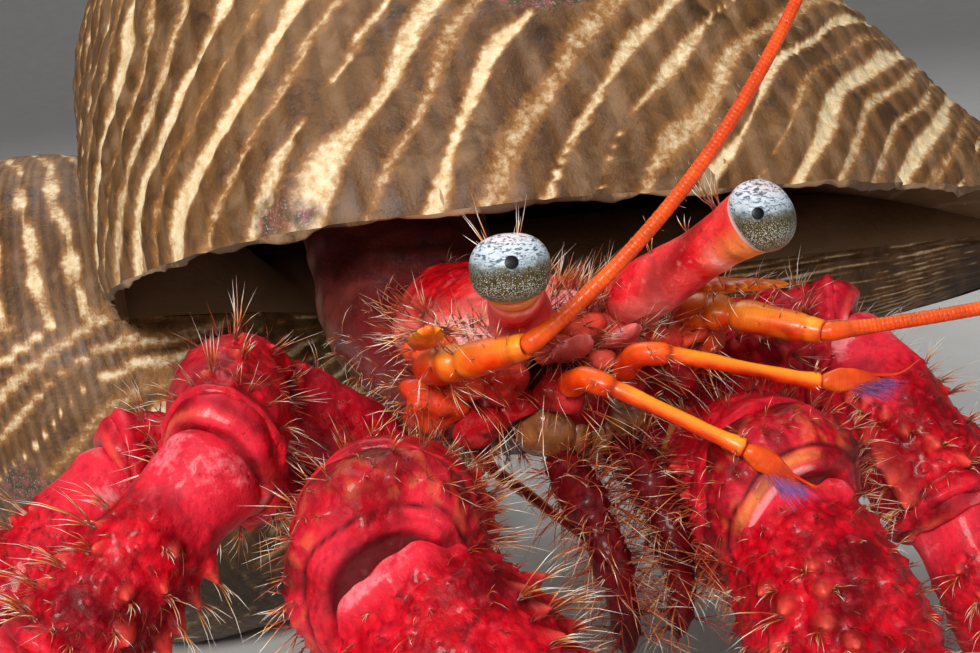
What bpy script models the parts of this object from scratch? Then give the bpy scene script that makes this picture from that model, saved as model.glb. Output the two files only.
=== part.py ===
"""Life-size model of a red hermit crab (Dardanus calidus type) wearing a large tun shell.

Blender 4.5, metres, +Z up.  The crab faces -Y, so its right side is -X.  The model stands on z = 0
on the tips of its walking legs and claws and on a small flat under the shell.  All lengths in the
constants are millimetres, and positions on the animal are measured from the head point, midway
between the bases of the eyestalks.
"""
import bmesh
import bpy
import numpy as np
from math import asin, cos, degrees, pi, radians, sin

MM = 0.001
GAP = 0.35                                   # clearance between neighbouring solids
ARTICLE_CROWN = 2.0                          # length of the rounded far end of a leg article
NAME = "hermit_crab"
HEAD = np.array((-9.0, -36.5, 47.5))         # head point above the middle of the footprint

SIDES = {"right": -1.0, "left": 1.0}

# ---- head ------------------------------------------------------------------------------------
EYE_SPREAD = 3.9                             # eyestalk base from the middle line
EYE_HEADING = {"right": (-28.4, 28.7), "left": (25.0, 30.0)}     # they splay outward and upward
EYESTALK_LENGTH = 10.0
CORNEA_RADIUS = 2.08
CORNEA_CENTRE = 11.0                         # along the stalk from its base
SHIELD_LENGTH, SHIELD_WIDTH, SHIELD_CROWN = 20.0, 17.0, 1.0
SHIELD_FALL, SHIELD_THICKNESS = 3.1, 1.9     # drop from the middle line to the side edge
SHIELD_FRONT = 0.6                           # front edge behind the head point
FLAGELLUM_LENGTH = 86.0
FLAGELLUM_BASE, FLAGELLUM_TIP = 0.44, 0.20   # radii
FLAGELLUM_POINTS = 22

# ---- shell -----------------------------------------------------------------------------------
SHELL_LENGTH = 136.0                         # apex to siphonal tip
LIP_RADIUS = 61.0                            # widest part of the lip from the coiling axis
EXPANSION = 2.3                              # growth of the coil in one turn
LIP_POINT = np.array((-5.0, 17.3, 5.0))      # widest point of the lip, above the crab's back
APEX_HEADING = np.array((-0.885, 0.463, -0.03))
LIP_HEADING = np.array((-0.44, -0.86, 0.322))
SUTURE_DEPTH = 0.30                          # of the length, at the lip
WIDEST_DEPTH = 0.52
BASE_DEPTH = 0.98
PILLAR_RADIUS = 8.5
WALL = 2.2
SPIRE_TURNS = 2.5
ROWS_PER_TURN = 28
WHORL_COLUMNS, BASE_COLUMNS = 6, 12
CAVITY_TURN = 0.42                           # how far back the modelled hollow runs, in turns

# ---- colours (linear) and finish ---------------------------------------------------------------
FINISH = {
    "carapace_red": ((0.62, 0.012, 0.03), 0.32),
    "limb_red": ((0.55, 0.008, 0.022), 0.35),
    "feeler_orange": ((0.75, 0.16, 0.01), 0.35),
    "cornea": ((0.42, 0.43, 0.42), 0.12),
    "mouthpart_red": ((0.20, 0.01, 0.015), 0.4),
    "soft_body": ((0.45, 0.16, 0.12), 0.45),
    "shell_brown": ((0.20, 0.12, 0.06), 0.5),
}


def clear_scene():
    for item in list(bpy.data.objects):
        bpy.data.objects.remove(item, do_unlink=True)


def heading(az, el):
    """Unit vector: az degrees from straight ahead towards the crab's left, el degrees upward."""
    a, e = radians(az), radians(el)
    return np.array((sin(a) * cos(e), -cos(a) * cos(e), sin(e)))


def unit(v):
    return v / np.linalg.norm(v)


def mirrored(point, side):
    """The point given for the left side, moved to the named side."""
    return np.array(point, float) * (SIDES[side], 1.0, 1.0)


def material(name):
    found = bpy.data.materials.get(name)
    if found:
        return found
    colour, roughness = FINISH[name]
    made = bpy.data.materials.new(name)
    made.use_nodes = True
    shader = made.node_tree.nodes["Principled BSDF"]
    shader.inputs["Base Color"].default_value = (*colour, 1.0)
    shader.inputs["Roughness"].default_value = roughness
    made.diffuse_color = (*colour, 1.0)
    return made


def add_object(name, verts, faces, finish):
    """A mesh object from points in millimetres about the head point, its faces turned outward."""
    mesh = bpy.data.meshes.new(name)
    points = (np.asarray(verts) + HEAD) * MM
    mesh.from_pydata([tuple(p) for p in points], [], faces)
    bm = bmesh.new()
    bm.from_mesh(mesh)
    bmesh.ops.recalc_face_normals(bm, faces=bm.faces)
    bm.to_mesh(mesh)
    bm.free()
    mesh.shade_smooth()
    mesh.set_sharp_from_angle(angle=radians(50))
    mesh.materials.append(material(finish))
    item = bpy.data.objects.new(name, mesh)
    bpy.data.collections[NAME].objects.link(item)
    return item


# ---- lofts ---------------------------------------------------------------------------------------
def smooth_path(knots, count):
    """Points and tangents along a smooth curve through the knots, evenly spaced by knot number."""
    knots = np.array(knots, float)
    if len(knots) == 2:
        t = np.linspace(0, 1, count)[:, None]
        tangent = np.repeat([unit(knots[1] - knots[0])], count, axis=0)
        return knots[0] * (1 - t) + knots[1] * t, tangent
    ends = np.vstack((2 * knots[0] - knots[1], knots, 2 * knots[-1] - knots[-2]))
    points, tangents = [], []
    for s in np.linspace(0, len(knots) - 1, count):
        i = min(int(s), len(knots) - 2)
        t = s - i
        a, b, c, d = ends[i:i + 4]
        points.append(0.5 * (2 * b + (c - a) * t + (2 * a - 5 * b + 4 * c - d) * t ** 2
                             + (3 * b - a - 3 * c + d) * t ** 3))
        tangents.append(unit(0.5 * ((c - a) + 2 * (2 * a - 5 * b + 4 * c - d) * t
                                    + 3 * (3 * b - a - 3 * c + d) * t ** 2)))
    return np.array(points), np.array(tangents)


def ring(centre, across, up, half_width, half_height, sides, squareness=2.3):
    """A superellipse of points about a centre."""
    angles = 2 * pi * (np.arange(sides) + 0.5) / sides
    c, s = np.cos(angles), np.sin(angles)
    x = np.sign(c) * np.abs(c) ** (2 / squareness) * half_width
    y = np.sign(s) * np.abs(s) ** (2 / squareness) * half_height
    return centre + np.outer(x, across) + np.outer(y, up)


def skin_rings(rings):
    """Quads between rings of equal count, with a flat cap at each end."""
    sides = len(rings[0])
    verts = np.vstack(rings)
    faces = []
    for r in range(len(rings) - 1):
        for i in range(sides):
            j = (i + 1) % sides
            faces.append((r * sides + i, r * sides + j, (r + 1) * sides + j, (r + 1) * sides + i))
    last = (len(rings) - 1) * sides
    faces.append(tuple(range(sides))[::-1])
    faces.append(tuple(last + i for i in range(sides)))
    return verts, faces


def loft(name, knots, profile, finish, sides=10, up=(0, 0, 1), foot=False):
    """A limb-like solid along a path.

    profile holds (place along the path 0..1, half width, half height, sideways shift, upward shift).
    foot lays the last ring flat on the floor.
    """
    fine, tangents = smooth_path(knots, 81)
    length = np.concatenate(([0], np.cumsum(np.linalg.norm(np.diff(fine, axis=0), axis=1))))
    rings = []
    for row in profile:
        t, half_width, half_height, side_shift, up_shift = (*row, 0, 0)[:5]
        at = t * length[-1]
        centre = np.array([np.interp(at, length, fine[:, k]) for k in range(3)])
        tangent = unit(np.array([np.interp(at, length, tangents[:, k]) for k in range(3)]))
        across = unit(np.cross(tangent, up))
        lift = np.cross(across, tangent)
        centre = centre + across * side_shift + lift * up_shift
        rings.append(ring(centre, across, lift, half_width, half_height, sides))
    if foot:
        centre = rings[-1].mean(axis=0)
        forward = unit(np.array((tangent[0], tangent[1], 0)))
        sideways = np.cross(forward, (0, 0, 1))
        centre[2] = -HEAD[2]
        rings[-1] = ring(centre, sideways, forward, row[1], row[2], sides)
    return add_object(name, *skin_rings(rings), finish)


def segment(name, start, end, half_width, half_height, waist=0.8, gap=GAP, sides=10, root=2.0):
    """One leg article: a rounded head at its root, a full middle and a rounded far end.

    gap is left clear at each end, and root is the length of the rounded head.
    """
    start, end = np.array(start, float), np.array(end, float)
    length = np.linalg.norm(end - start)
    way = (end - start) / length
    a, b = start + way * gap, end - way * gap
    head, end_cap = root / length, ARTICLE_CROWN / length
    profile = [(0.0, 0.34 * half_width * waist, 0.34 * half_height * waist),
               (0.4 * head, half_width * waist * 0.72, half_height * waist * 0.72),
               (head, half_width * waist, half_height * waist),
               (head + 0.18, half_width * 0.95, half_height * 0.95),
               (0.65, half_width, half_height),
               (1 - end_cap, half_width * 0.97, half_height * 0.97),
               (1 - 0.35 * end_cap, half_width * 0.78, half_height * 0.78),
               (1.0, half_width * 0.42, half_height * 0.42)]
    return loft(name, (a, b), profile, "limb_red", sides=sides)


# ---- head ----------------------------------------------------------------------------------------
def eye(side):
    """A stalk, the domed cornea at its end and the small scale in front of its base."""
    base = mirrored((EYE_SPREAD, 0, 0), side)
    way = heading(*EYE_HEADING[side])
    top = base + way * EYESTALK_LENGTH
    profile = [(0.0, 1.2, 1.2), (0.08, 1.95, 1.95), (0.3, 1.85, 1.85), (0.6, 1.55, 1.55),
               (0.82, 1.62, 1.62), (0.95, 1.85, 1.85), (1.0, 1.7, 1.7)]
    loft(f"eyestalk_{side}", (base, top), profile, "carapace_red", sides=12)
    centre = base + way * CORNEA_CENTRE
    back = (EYESTALK_LENGTH + GAP) - CORNEA_CENTRE
    start = base + way * (EYESTALK_LENGTH + GAP)
    end = centre + way * CORNEA_RADIUS
    span = CORNEA_RADIUS - back
    profile = []
    for k in range(7):
        x = back + span * sin(0.5 * pi * k / 6)
        radius = max(CORNEA_RADIUS * (1 - (x / CORNEA_RADIUS) ** 2) ** 0.5, 0.25)
        profile.append(((x - back) / span, radius, radius))
    loft(f"cornea_{side}", (start, end), profile, "cornea", sides=14)
    root = mirrored((1.6, -1.0, -2.4), side)
    tip = root + heading(SIDES[side] * 8, 34) * 3.0
    scale = [(0.0, 1.2, 0.4), (0.4, 1.35, 0.5), (0.8, 0.8, 0.35), (1.0, 0.3, 0.28)]
    loft(f"ocular_scale_{side}", (root, tip), scale, "carapace_red", sides=8)


def curved_course(start, from_heading, to_heading, length, count, bend):
    """Points of a feeler whose heading turns steadily from one (az, el) to another."""
    point = np.array(start, float)
    points = [point]
    step = length / (count - 1)
    for k in range(1, count):
        t = ((k - 0.5) / (count - 1)) ** bend
        az = from_heading[0] + (to_heading[0] - from_heading[0]) * t
        el = from_heading[1] + (to_heading[1] - from_heading[1]) * t
        point = point + heading(az, el) * step
        points.append(point)
    return np.array(points)


def feeler(name, points, base_radius, tip_radius, finish):
    """A tapering whip: a poly curve with round bevel and filled caps."""
    data = bpy.data.curves.new(name, "CURVE")
    data.dimensions = "3D"
    data.bevel_depth = base_radius * MM
    data.bevel_resolution = 2
    data.use_fill_caps = True
    line = data.splines.new("POLY")
    line.points.add(len(points) - 1)
    for k, point in enumerate(points):
        line.points[k].co = (*((point + HEAD) * MM), 1.0)
        share = k / (len(points) - 1)
        line.points[k].radius = (base_radius + (tip_radius - base_radius) * share) / base_radius
    data.materials.append(material(finish))
    item = bpy.data.objects.new(name, data)
    bpy.data.collections[NAME].objects.link(item)
    return item


ANTENNA = {
    "right": dict(knots=((-10.2, -0.2, -1.4), (-8.9, -2.9, -0.8), (-6.8, -5.8, 0.1)),
                  start=(72, 30), finish=(150, 82), bend=0.8,
                  acicle=((-11.2, -1.6, 0.4), (-12.0, -4.8, 2.0))),
    "left": dict(knots=((8.6, 1.2, -1.6), (10.9, -2.6, -2.1), (13.4, -6.4, -2.9)),
                 start=(62, 2), finish=(84, 58), bend=1.3,
                 acicle=((7.4, -0.7, 0.4), (12.0, -4.9, 0.2))),
}


def antenna(side):
    """The long outer feeler on its thick base, with the pointed scale beside it."""
    plan = ANTENNA[side]
    knots = plan["knots"]
    profile = [(0.0, 1.0, 0.9), (0.1, 1.36, 1.18), (0.3, 1.26, 1.1), (0.36, 1.06, 0.95),
               (0.45, 1.18, 1.05), (0.9, 0.98, 0.9), (1.0, 0.66, 0.62)]
    loft(f"antenna_{side}_peduncle", knots, profile, "feeler_orange", sides=10)
    way = unit(np.array(knots[2]) - np.array(knots[1]))
    start = np.array(knots[2]) + way * 3 * GAP
    course = curved_course(start, plan["start"], plan["finish"], FLAGELLUM_LENGTH,
                           FLAGELLUM_POINTS, plan["bend"])
    feeler(f"antenna_{side}_flagellum", course, FLAGELLUM_BASE, FLAGELLUM_TIP, "feeler_orange")
    blade = [(0.0, 0.8, 0.45), (0.35, 0.95, 0.5), (0.75, 0.6, 0.4), (1.0, 0.28, 0.27)]
    loft(f"antennal_scale_{side}", plan["acicle"], blade, "feeler_orange", sides=8)


ANTENNULE = {
    "right": ((-2.6, -2.6, -3.6), (-1.8, -5.6, -3.2), (4.2, -10.6, -7.3), (6.6, -12.2, -9.4)),
    "left": ((1.2, -2.6, -3.6), (2.4, -5.1, -2.3), (11.2, -8.8, -5.2), (14.6, -10.2, -5.3)),
}


def antennule(side):
    """The small inner feeler: an elbowed stalk with a short brush at its end."""
    root, elbow, wrist, tip = (np.array(p) for p in ANTENNULE[side])
    profile = [(0.0, 0.78, 0.78), (0.08, 0.9, 0.86), (0.2, 0.8, 0.8), (0.27, 0.52, 0.52),
               (0.34, 0.6, 0.58), (0.9, 0.48, 0.48), (0.96, 0.62, 0.6), (1.0, 0.42, 0.42)]
    loft(f"antennule_{side}_peduncle", (root, elbow, wrist), profile, "feeler_orange", sides=10)
    way = unit(tip - wrist)
    brush = [(0.0, 0.5, 0.4), (0.25, 0.45, 0.8), (0.6, 0.35, 0.65), (1.0, 0.25, 0.25)]
    loft(f"antennule_{side}_flagella", (wrist + way * (GAP + 0.15), tip), brush,
         "feeler_orange", sides=8)


def mouthparts(side):
    """The outer jaw leg (third maxilliped), folded down and forward under the mouth."""
    knots = [mirrored(p, side) for p in ((2.1, 0.4, -9.2), (2.3, -4.0, -12.0), (2.1, -6.0, -16.4),
                                         (1.8, -5.6, -20.4))]
    profile = [(0.0, 1.0, 1.2), (0.1, 1.3, 1.6), (0.36, 1.25, 1.5), (0.45, 1.0, 1.1),
               (0.65, 1.15, 1.2), (0.9, 0.8, 0.9), (1.0, 0.4, 0.45)]
    loft(f"maxilliped_{side}", knots, profile, "mouthpart_red", sides=10, up=(0, 1, 0))


# ---- trunk ---------------------------------------------------------------------------------------
def shield_station(t):
    """Half width and crown height of the shield at a share of its length."""
    half_width = 0.5 * SHIELD_WIDTH * (0.80 + 0.55 * t - 0.85 * t ** 2)
    crown = SHIELD_CROWN * (1 - (2 * t - 1) ** 2 * 0.6)
    return half_width, crown


def shield():
    """The hard front plate of the carapace: an arched plate with a level front edge."""
    rings = []
    half_count = 6
    across = [cos(pi * (k + 0.5) / half_count) for k in range(half_count)]
    for t in (0.0, 0.06, 0.25, 0.5, 0.75, 0.94, 1.0):
        half_width, crown = shield_station(t)
        y = SHIELD_FRONT + SHIELD_LENGTH * t
        is_end = t in (0.0, 1.0)
        thickness = SHIELD_THICKNESS * (0.45 if is_end else 1.0)
        top = crown - (0.5 if is_end else 0.0)
        upper = [(half_width * x, y, top - SHIELD_FALL * x ** 2) for x in across]
        lower = [(x * 0.96, y, z - thickness) for x, _, z in upper[::-1]]
        rings.append(np.array(upper + lower))
    verts, faces = skin_rings(rings)
    add_object("carapace_shield", verts, faces, "carapace_red")


def trunk():
    """The body under the shield, the soft rear carapace and the coiled soft abdomen."""
    body = [(0.0, 4.8, 1.8), (0.07, 6.8, 3.1), (0.35, 7.6, 4.2), (0.7, 7.4, 4.4), (0.95, 6.2, 3.8),
            (1.0, 4.6, 2.6)]
    loft("cephalothorax", ((0, 1.3, -5.8), (0, 18.6, -7.8)), body, "carapace_red", sides=14)
    rear = [(0.0, 3.6, 3.0), (0.1, 5.8, 4.6), (0.4, 7.2, 6.0), (0.75, 7.4, 6.6), (0.95, 6.4, 6.0),
            (1.0, 4.6, 4.2)]
    loft("carapace_rear", ((0, 21.6, -6.4), (0.5, 28.5, -3.0), (2.5, 35.0, 4.0)), rear,
         "soft_body", sides=14)
    coil = [(0.0, 4.4, 4.2), (0.06, 6.6, 6.2), (0.35, 8.4, 8.0), (0.65, 7.8, 7.4), (0.9, 5.4, 5.2),
            (1.0, 2.6, 2.6)]
    loft("abdomen", ((2.8, 35.7, 5.1), (7.0, 43.0, 13.0), (14.0, 56.0, 20.5), (18.0, 71.0, 18.5)),
         coil, "soft_body", sides=14)


# ---- walking legs -----------------------------------------------------------------------------------
# hip and knee are places; the later articles are (heading az, el, length); the dactyl lands on z = 0;
# slim narrows the merus where it bends, and lean the carpus
WALKING_LEGS = {
    "leg2_right": dict(hip=(-6.0, 10.6, -13.8), bend=(-17.1, 12.8, -3.9), knee=(-22.9, 2.0, -4.8),
                       carpus=(-76, -34, 14.5), propodus=(-68, -50, 20), dactyl=(-52, 25), size=1.0,
                       slim=0.68, lean=0.76),
    "leg2_left": dict(hip=(6.0, 10.6, -13.8), bend=(10.0, 11.4, -11.4), knee=(23.4, 4.6, -7.2),
                      carpus=(4, -47, 14.5), propodus=(6, -54, 20), dactyl=(10, 24), size=1.0),
    "leg3_right": dict(hip=(-6.0, 15.4, -13.6), bend=(-9.8, 17.4, -12.4), knee=(-25.4, 19.4, -9.4),
                       carpus=(-72, -38, 13.5), propodus=(-78, -46, 19), dactyl=(-66, 24), size=0.92),
    "leg3_left": dict(hip=(6.0, 15.4, -13.6), bend=(9.8, 17.4, -12.4), knee=(26.6, 16.6, -9.8),
                      carpus=(66, -38, 13.5), propodus=(62, -46, 19), dactyl=(52, 24), size=0.92),
}


def walking_leg(name, plan):
    """A walking leg in four articles, its last one bowed and set flat on the floor."""
    size = plan["size"]
    slim = plan.get("slim", 1.0)
    hip, bend, knee = (np.array(plan[k]) for k in ("hip", "bend", "knee"))
    profile = [(0.0, 1.2 * size, 1.3 * size), (0.06, 1.9 * size, 2.0 * size),
               (0.25, 2.2 * size, 2.9 * size), (0.5, 2.9 * slim * size, 3.9 * slim * size),
               (0.74, 3.4 * size, 4.5 * size), (0.84, 3.2 * size, 3.9 * size),
               (0.93, 2.3 * size, 2.5 * size), (1.0, 1.0 * size, 1.1 * size)]
    way = unit(knee - bend)
    loft(f"{name}_merus", (hip, bend, knee - way * GAP * 2), profile, "limb_red", sides=10)
    az, el, length = plan["carpus"]
    wrist = knee + heading(az, el) * length
    lean = size * plan.get("lean", 1.0)
    segment(f"{name}_carpus", knee, wrist, 3.8 * lean, 4.3 * lean, waist=0.86,
            gap=1.3, root=4.4)
    az, el, length = plan["propodus"]
    ankle = wrist + heading(az, el) * length
    segment(f"{name}_propodus", wrist, ankle, 3.3 * size, 3.8 * size, waist=0.92)
    az, length = plan["dactyl"]
    foot_el = -degrees(asin((ankle[2] + HEAD[2]) / length))
    toe = ankle + heading(az, foot_el) * length
    toe[2] = -HEAD[2]
    mid = 0.5 * (ankle + toe) + np.array((0, 0, 1.8))
    start = ankle + unit(mid - ankle) * GAP * 1.6
    taper = [(0.0, 1.3 * size, 1.4 * size), (0.06, 2.5 * size, 2.8 * size),
             (0.3, 2.3 * size, 2.7 * size), (0.6, 1.7 * size, 2.0 * size),
             (0.85, 1.0 * size, 1.15 * size), (1.0, 0.75, 0.75)]
    loft(f"{name}_dactyl", (start, mid, toe), taper, "limb_red", sides=10, foot=True)


# ---- claws --------------------------------------------------------------------------------------------
FINGER_TIP_HEIGHT = 0.8                      # end of the chela's axis above the floor
CLAWS = {
    "right": dict(hip=(-5.6, 5.4, -14.2), bend=(-10.2, 3.0, -13.0), elbow=(-18.0, -9.5, -8.9),
                  carpus=(30, -52, 12.5), palm_az=8, chela=30.0, size=1.01),
    "left": dict(hip=(5.8, 5.4, -14.2), bend=(9.6, 3.0, -14.2), elbow=(8.2, -8.4, -12.4),
                 carpus=(-6, -48, 13.5), palm_az=16, chela=37.0, size=1.0),
}


def claw(side):
    """A clawed leg: upper arm, wrist piece, palm with its fixed finger, and the moving finger."""
    plan = CLAWS[side]
    size = plan["size"]
    hip, bend, elbow = (np.array(plan[k]) for k in ("hip", "bend", "elbow"))
    profile = [(0.0, 1.4 * size, 1.4 * size), (0.06, 2.2 * size, 2.2 * size),
               (0.3, 3.2 * size, 3.8 * size), (0.55, 4.8 * size, 6.2 * size),
               (0.70, 5.4 * size, 7.0 * size), (0.82, 4.7 * size, 5.6 * size),
               (0.92, 3.1 * size, 3.4 * size), (1.0, 1.3 * size, 1.4 * size)]
    way = unit(elbow - bend)
    loft(f"claw_{side}_merus", (hip, bend, elbow - way * GAP * 2), profile, "limb_red", sides=12)
    az, el, length = plan["carpus"]
    wrist = elbow + heading(az, el) * length
    segment(f"claw_{side}_carpus", elbow, wrist, 5.2 * size, 5.6 * size, waist=0.82,
            gap=2.6, sides=12, root=5.6)
    length = plan["chela"]
    drop = wrist[2] + HEAD[2] - FINGER_TIP_HEIGHT
    way = heading(plan["palm_az"], -degrees(asin(min(drop / length, 0.95))))
    start = wrist + way * GAP * 2
    tip = start + way * (length - GAP * 2)
    palm = [(0.0, 2.4 * size, 2.8 * size), (0.06, 4.0 * size, 4.8 * size),
            (0.25, 5.0 * size, 6.6 * size), (0.45, 4.9 * size, 6.9 * size),
            (0.53, 4.4 * size, 6.0 * size, 0, -0.4 * size),
            (0.60, 3.4 * size, 2.9 * size, 0, -3.2 * size),
            (0.78, 2.7 * size, 2.2 * size, 0, -2.8 * size),
            (0.93, 1.6 * size, 1.4 * size, 0, -1.9 * size), (1.0, 0.7, 0.7, 0, -1.2 * size)]
    loft(f"claw_{side}_palm", (start, tip), palm, "limb_red", sides=12, foot=True)
    finger = [(0.575, 2.0 * size, 1.5 * size, 0, 3.4 * size),
              (0.62, 3.0 * size, 2.4 * size, 0, 3.3 * size),
              (0.78, 2.4 * size, 2.1 * size, 0, 2.6 * size),
              (0.91, 1.4 * size, 1.2 * size, 0, 1.7 * size), (0.97, 0.6, 0.5, 0, 1.0 * size)]
    loft(f"claw_{side}_dactyl", (start, tip), finger, "limb_red", sides=12)


def rear_leg(side):
    """The small fourth leg, folded beside the body to brace it in the shell."""
    knots = [mirrored(p, side) for p in ((6.4, 20.6, -12.4), (9.4, 25.0, -13.0), (10.4, 30.0, -11.0),
                                         (9.4, 33.0, -8.0))]
    profile = [(0.0, 1.1, 1.2), (0.1, 1.5, 1.6), (0.45, 1.5, 1.8), (0.6, 1.2, 1.5), (0.8, 1.6, 2.0),
               (0.95, 1.1, 1.3), (1.0, 0.5, 0.6)]
    loft(f"leg4_{side}", knots, profile, "limb_red", sides=8)


# ---- shell --------------------------------------------------------------------------------------------
def lower_outline(depth):
    """Radius of the last whorl, at full growth, at a depth below the apex past its widest part."""
    span = SHELL_LENGTH * (BASE_DEPTH - WIDEST_DEPTH)
    reach = np.clip((depth - SHELL_LENGTH * WIDEST_DEPTH) / span, 0, 1)
    return LIP_RADIUS * np.sqrt(1 - reach ** 2)


def whorl_outline(growth, count_upper, count_lower):
    """Radius and depth below the apex down one side of the whorl, from suture to siphonal tip.

    The first count_upper points end at the next suture, and the rest run down to the tip.
    """
    suture = SHELL_LENGTH * SUTURE_DEPTH
    widest = SHELL_LENGTH * WIDEST_DEPTH
    next_suture = suture * EXPANSION
    suture_radius = float(lower_outline(next_suture)) / EXPANSION
    radius, depth = [], []
    for t in np.linspace(0, 1, 40)[:-1]:
        radius.append(suture_radius + (LIP_RADIUS - suture_radius) * sin(0.5 * pi * t))
        depth.append(widest - (widest - suture) * cos(0.5 * pi * t))
    for d in np.linspace(widest, next_suture, 12):
        radius.append(float(lower_outline(d)))
        depth.append(d)
    upper = resample(np.array((radius, depth)).T * growth, count_upper)
    top = next_suture * growth
    depths = np.linspace(top, SHELL_LENGTH, 160)
    body = lower_outline(depths / growth) * growth
    pillar = PILLAR_RADIUS * np.clip(1 - (depths / SHELL_LENGTH) ** 6, 0, 1) ** 0.5
    share = np.clip((depths - top) / (0.12 * SHELL_LENGTH), 0, 1)
    merged = (body ** 3 + (pillar * share) ** 3) ** (1 / 3)
    lower = resample(np.array((merged, depths)).T, count_lower + 1)
    return np.vstack((upper, lower[1:]))


def run_shares(points):
    """Each point's share of the length of an open outline."""
    length = np.concatenate(([0], np.cumsum(np.linalg.norm(np.diff(points, axis=0), axis=1))))
    return length / length[-1]


def resample(points, count, shares=None):
    """The same open outline with points at the given shares of its length, or evenly spaced."""
    at = np.linspace(0, 1, count) if shares is None else shares
    return np.array([np.interp(at, run_shares(points), points[:, k]) for k in range(2)]).T


def shell_frame():
    """Apex direction, lip direction and mouth direction, at right angles."""
    apex = unit(APEX_HEADING)
    lip = unit(LIP_HEADING - apex * np.dot(LIP_HEADING, apex))
    mouth = np.cross(lip, apex)
    return apex, lip, mouth


def place(outline, turn):
    """Points of an outline (radius, depth) standing at a turn of the coil, measured from the lip."""
    apex, lip, mouth = shell_frame()
    angle = 2 * pi * turn
    outward = cos(angle) * lip + sin(angle) * mouth
    top = LIP_POINT + apex * SHELL_LENGTH * WIDEST_DEPTH - lip * LIP_RADIUS
    return top + np.outer(outline[:, 0], outward) - np.outer(outline[:, 1], apex)


def shell():
    """A coiled shell as one closed skin: outside, lip, and the hollow behind the mouth."""
    rows, upper, lower = ROWS_PER_TURN, WHORL_COLUMNS + 1, BASE_COLUMNS
    columns = upper + lower
    verts, faces, index = [], [], {}

    def add(point):
        verts.append(point)
        return len(verts) - 1

    tip = add(place(np.array([[0.0, SHELL_LENGTH]]), 0)[0])
    first = -int(rows * (1 + SPIRE_TURNS))
    for row in range(0, first - 1, -1):              # outside, from the lip back to the apex
        turn = row / rows
        outline = whorl_outline(EXPANSION ** turn, upper, lower)
        points = place(outline, turn)
        count = columns - 1 if row >= -rows else upper
        for c in range(count):
            if c == upper - 1 and row + rows <= 0:
                index[row, c] = index[row + rows, 0]
            else:
                index[row, c] = add(points[c])
        if row >= -rows:
            index[row, columns - 1] = tip
    for row in range(first, 0):
        count = columns - 1 if row >= -rows else upper - 1
        for c in range(count):
            quad = (index[row, c], index[row, c + 1], index[row + 1, c + 1], index[row + 1, c])
            faces.append(tuple(dict.fromkeys(quad)))
    nose_depth = 0.4 * SUTURE_DEPTH * SHELL_LENGTH * EXPANSION ** (first / rows)
    nose = add(place(np.array([[0.0, nose_depth]]), 0)[0])
    spiral = [index[row, 0] for row in range(first, first + rows + 1)]
    for a, b in zip(spiral, spiral[1:] + spiral[:1]):
        faces.append((nose, a, b))
    faces.append(tuple(index[first, c] for c in range(upper)))
    hollow(add, faces, index, upper, columns, rows)
    points = np.array(verts)
    points[:, 2] = np.maximum(points[:, 2], -HEAD[2])
    add_object("shell", points, faces, "shell_brown")


def hollow_section(turn, top_depth, bottom_depth, inner_count, outer_count):
    """The hollow's inner side (the turn before) and its outer side (the wall) at one turn."""
    growth = EXPANSION ** turn
    before = whorl_outline(growth / EXPANSION, 40, 60)
    floor = min(bottom_depth, growth * SHELL_LENGTH * (BASE_DEPTH - 0.02))
    depths = np.linspace(top_depth * growth, floor, 90)
    clearance = 0.25 if turn else 0.0
    radii = np.interp(depths, before[:, 1], before[:, 0]) + clearance
    inner = resample(np.stack((radii, depths), axis=1), inner_count)
    full = whorl_outline(growth, 40, 60)
    flow = np.gradient(full, axis=0)
    flow /= np.linalg.norm(flow, axis=1)[:, None]
    wall = full + np.stack((-flow[:, 1], flow[:, 0]), axis=1) * WALL
    room = wall[:, 0] - np.interp(wall[:, 1], depths, radii)
    wall = wall[(room > 1.2) & (wall[:, 1] < floor - 1.0)]
    outside = whorl_outline(growth, WHORL_COLUMNS + 1, outer_count - WHORL_COLUMNS - 1)
    outer = np.vstack((inner[:1], wall, inner[-1:]))
    return inner, resample(outer, outer_count, run_shares(outside))


def hollow(add, faces, index, upper, columns, rows):
    """The lip's edge and the hollow inside the last whorl, joined to the outside at the mouth."""
    parietal = whorl_outline(1 / EXPANSION, upper, columns - upper)
    top_depth, bottom_depth = parietal[upper, 1], parietal[columns - 2, 1]
    count = columns - 1 - upper
    sections = []
    for step in range(int(CAVITY_TURN * rows) + 1):
        turn = -step / rows
        inner, outer = hollow_section(turn, top_depth, bottom_depth, count, columns)
        if step == 0:
            inner_ids = [index[-rows, c] for c in range(upper, columns - 1)]
        else:
            inner_ids = [add(p) for p in place(inner, turn)]
        outer_ids = [inner_ids[0]] + [add(p) for p in place(outer[1:-1], turn)] + [inner_ids[-1]]
        sections.append((outer_ids, inner_ids))
    lip_ids = [index[0, c] for c in range(columns)]
    edge_ids = sections[0][0]
    for c in range(columns - 1):
        faces.append((lip_ids[c], lip_ids[c + 1], edge_ids[c + 1], edge_ids[c]))
    for near, far in zip(sections, sections[1:]):
        for c in range(columns - 1):
            faces.append((near[0][c], near[0][c + 1], far[0][c + 1], far[0][c]))
        for c in range(count - 1):
            faces.append((near[1][c + 1], near[1][c], far[1][c], far[1][c + 1]))
    outer_ids, inner_ids = sections[-1]
    faces.append(tuple(outer_ids + inner_ids[::-1][1:-1]))


def main():
    clear_scene()
    group = bpy.data.collections.new(NAME)
    bpy.context.scene.collection.children.link(group)
    for side in SIDES:
        eye(side)
        antenna(side)
        antennule(side)
        mouthparts(side)
        claw(side)
        rear_leg(side)
    shield()
    trunk()
    for name, plan in WALKING_LEGS.items():
        walking_leg(name, plan)
    shell()


main()
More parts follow.
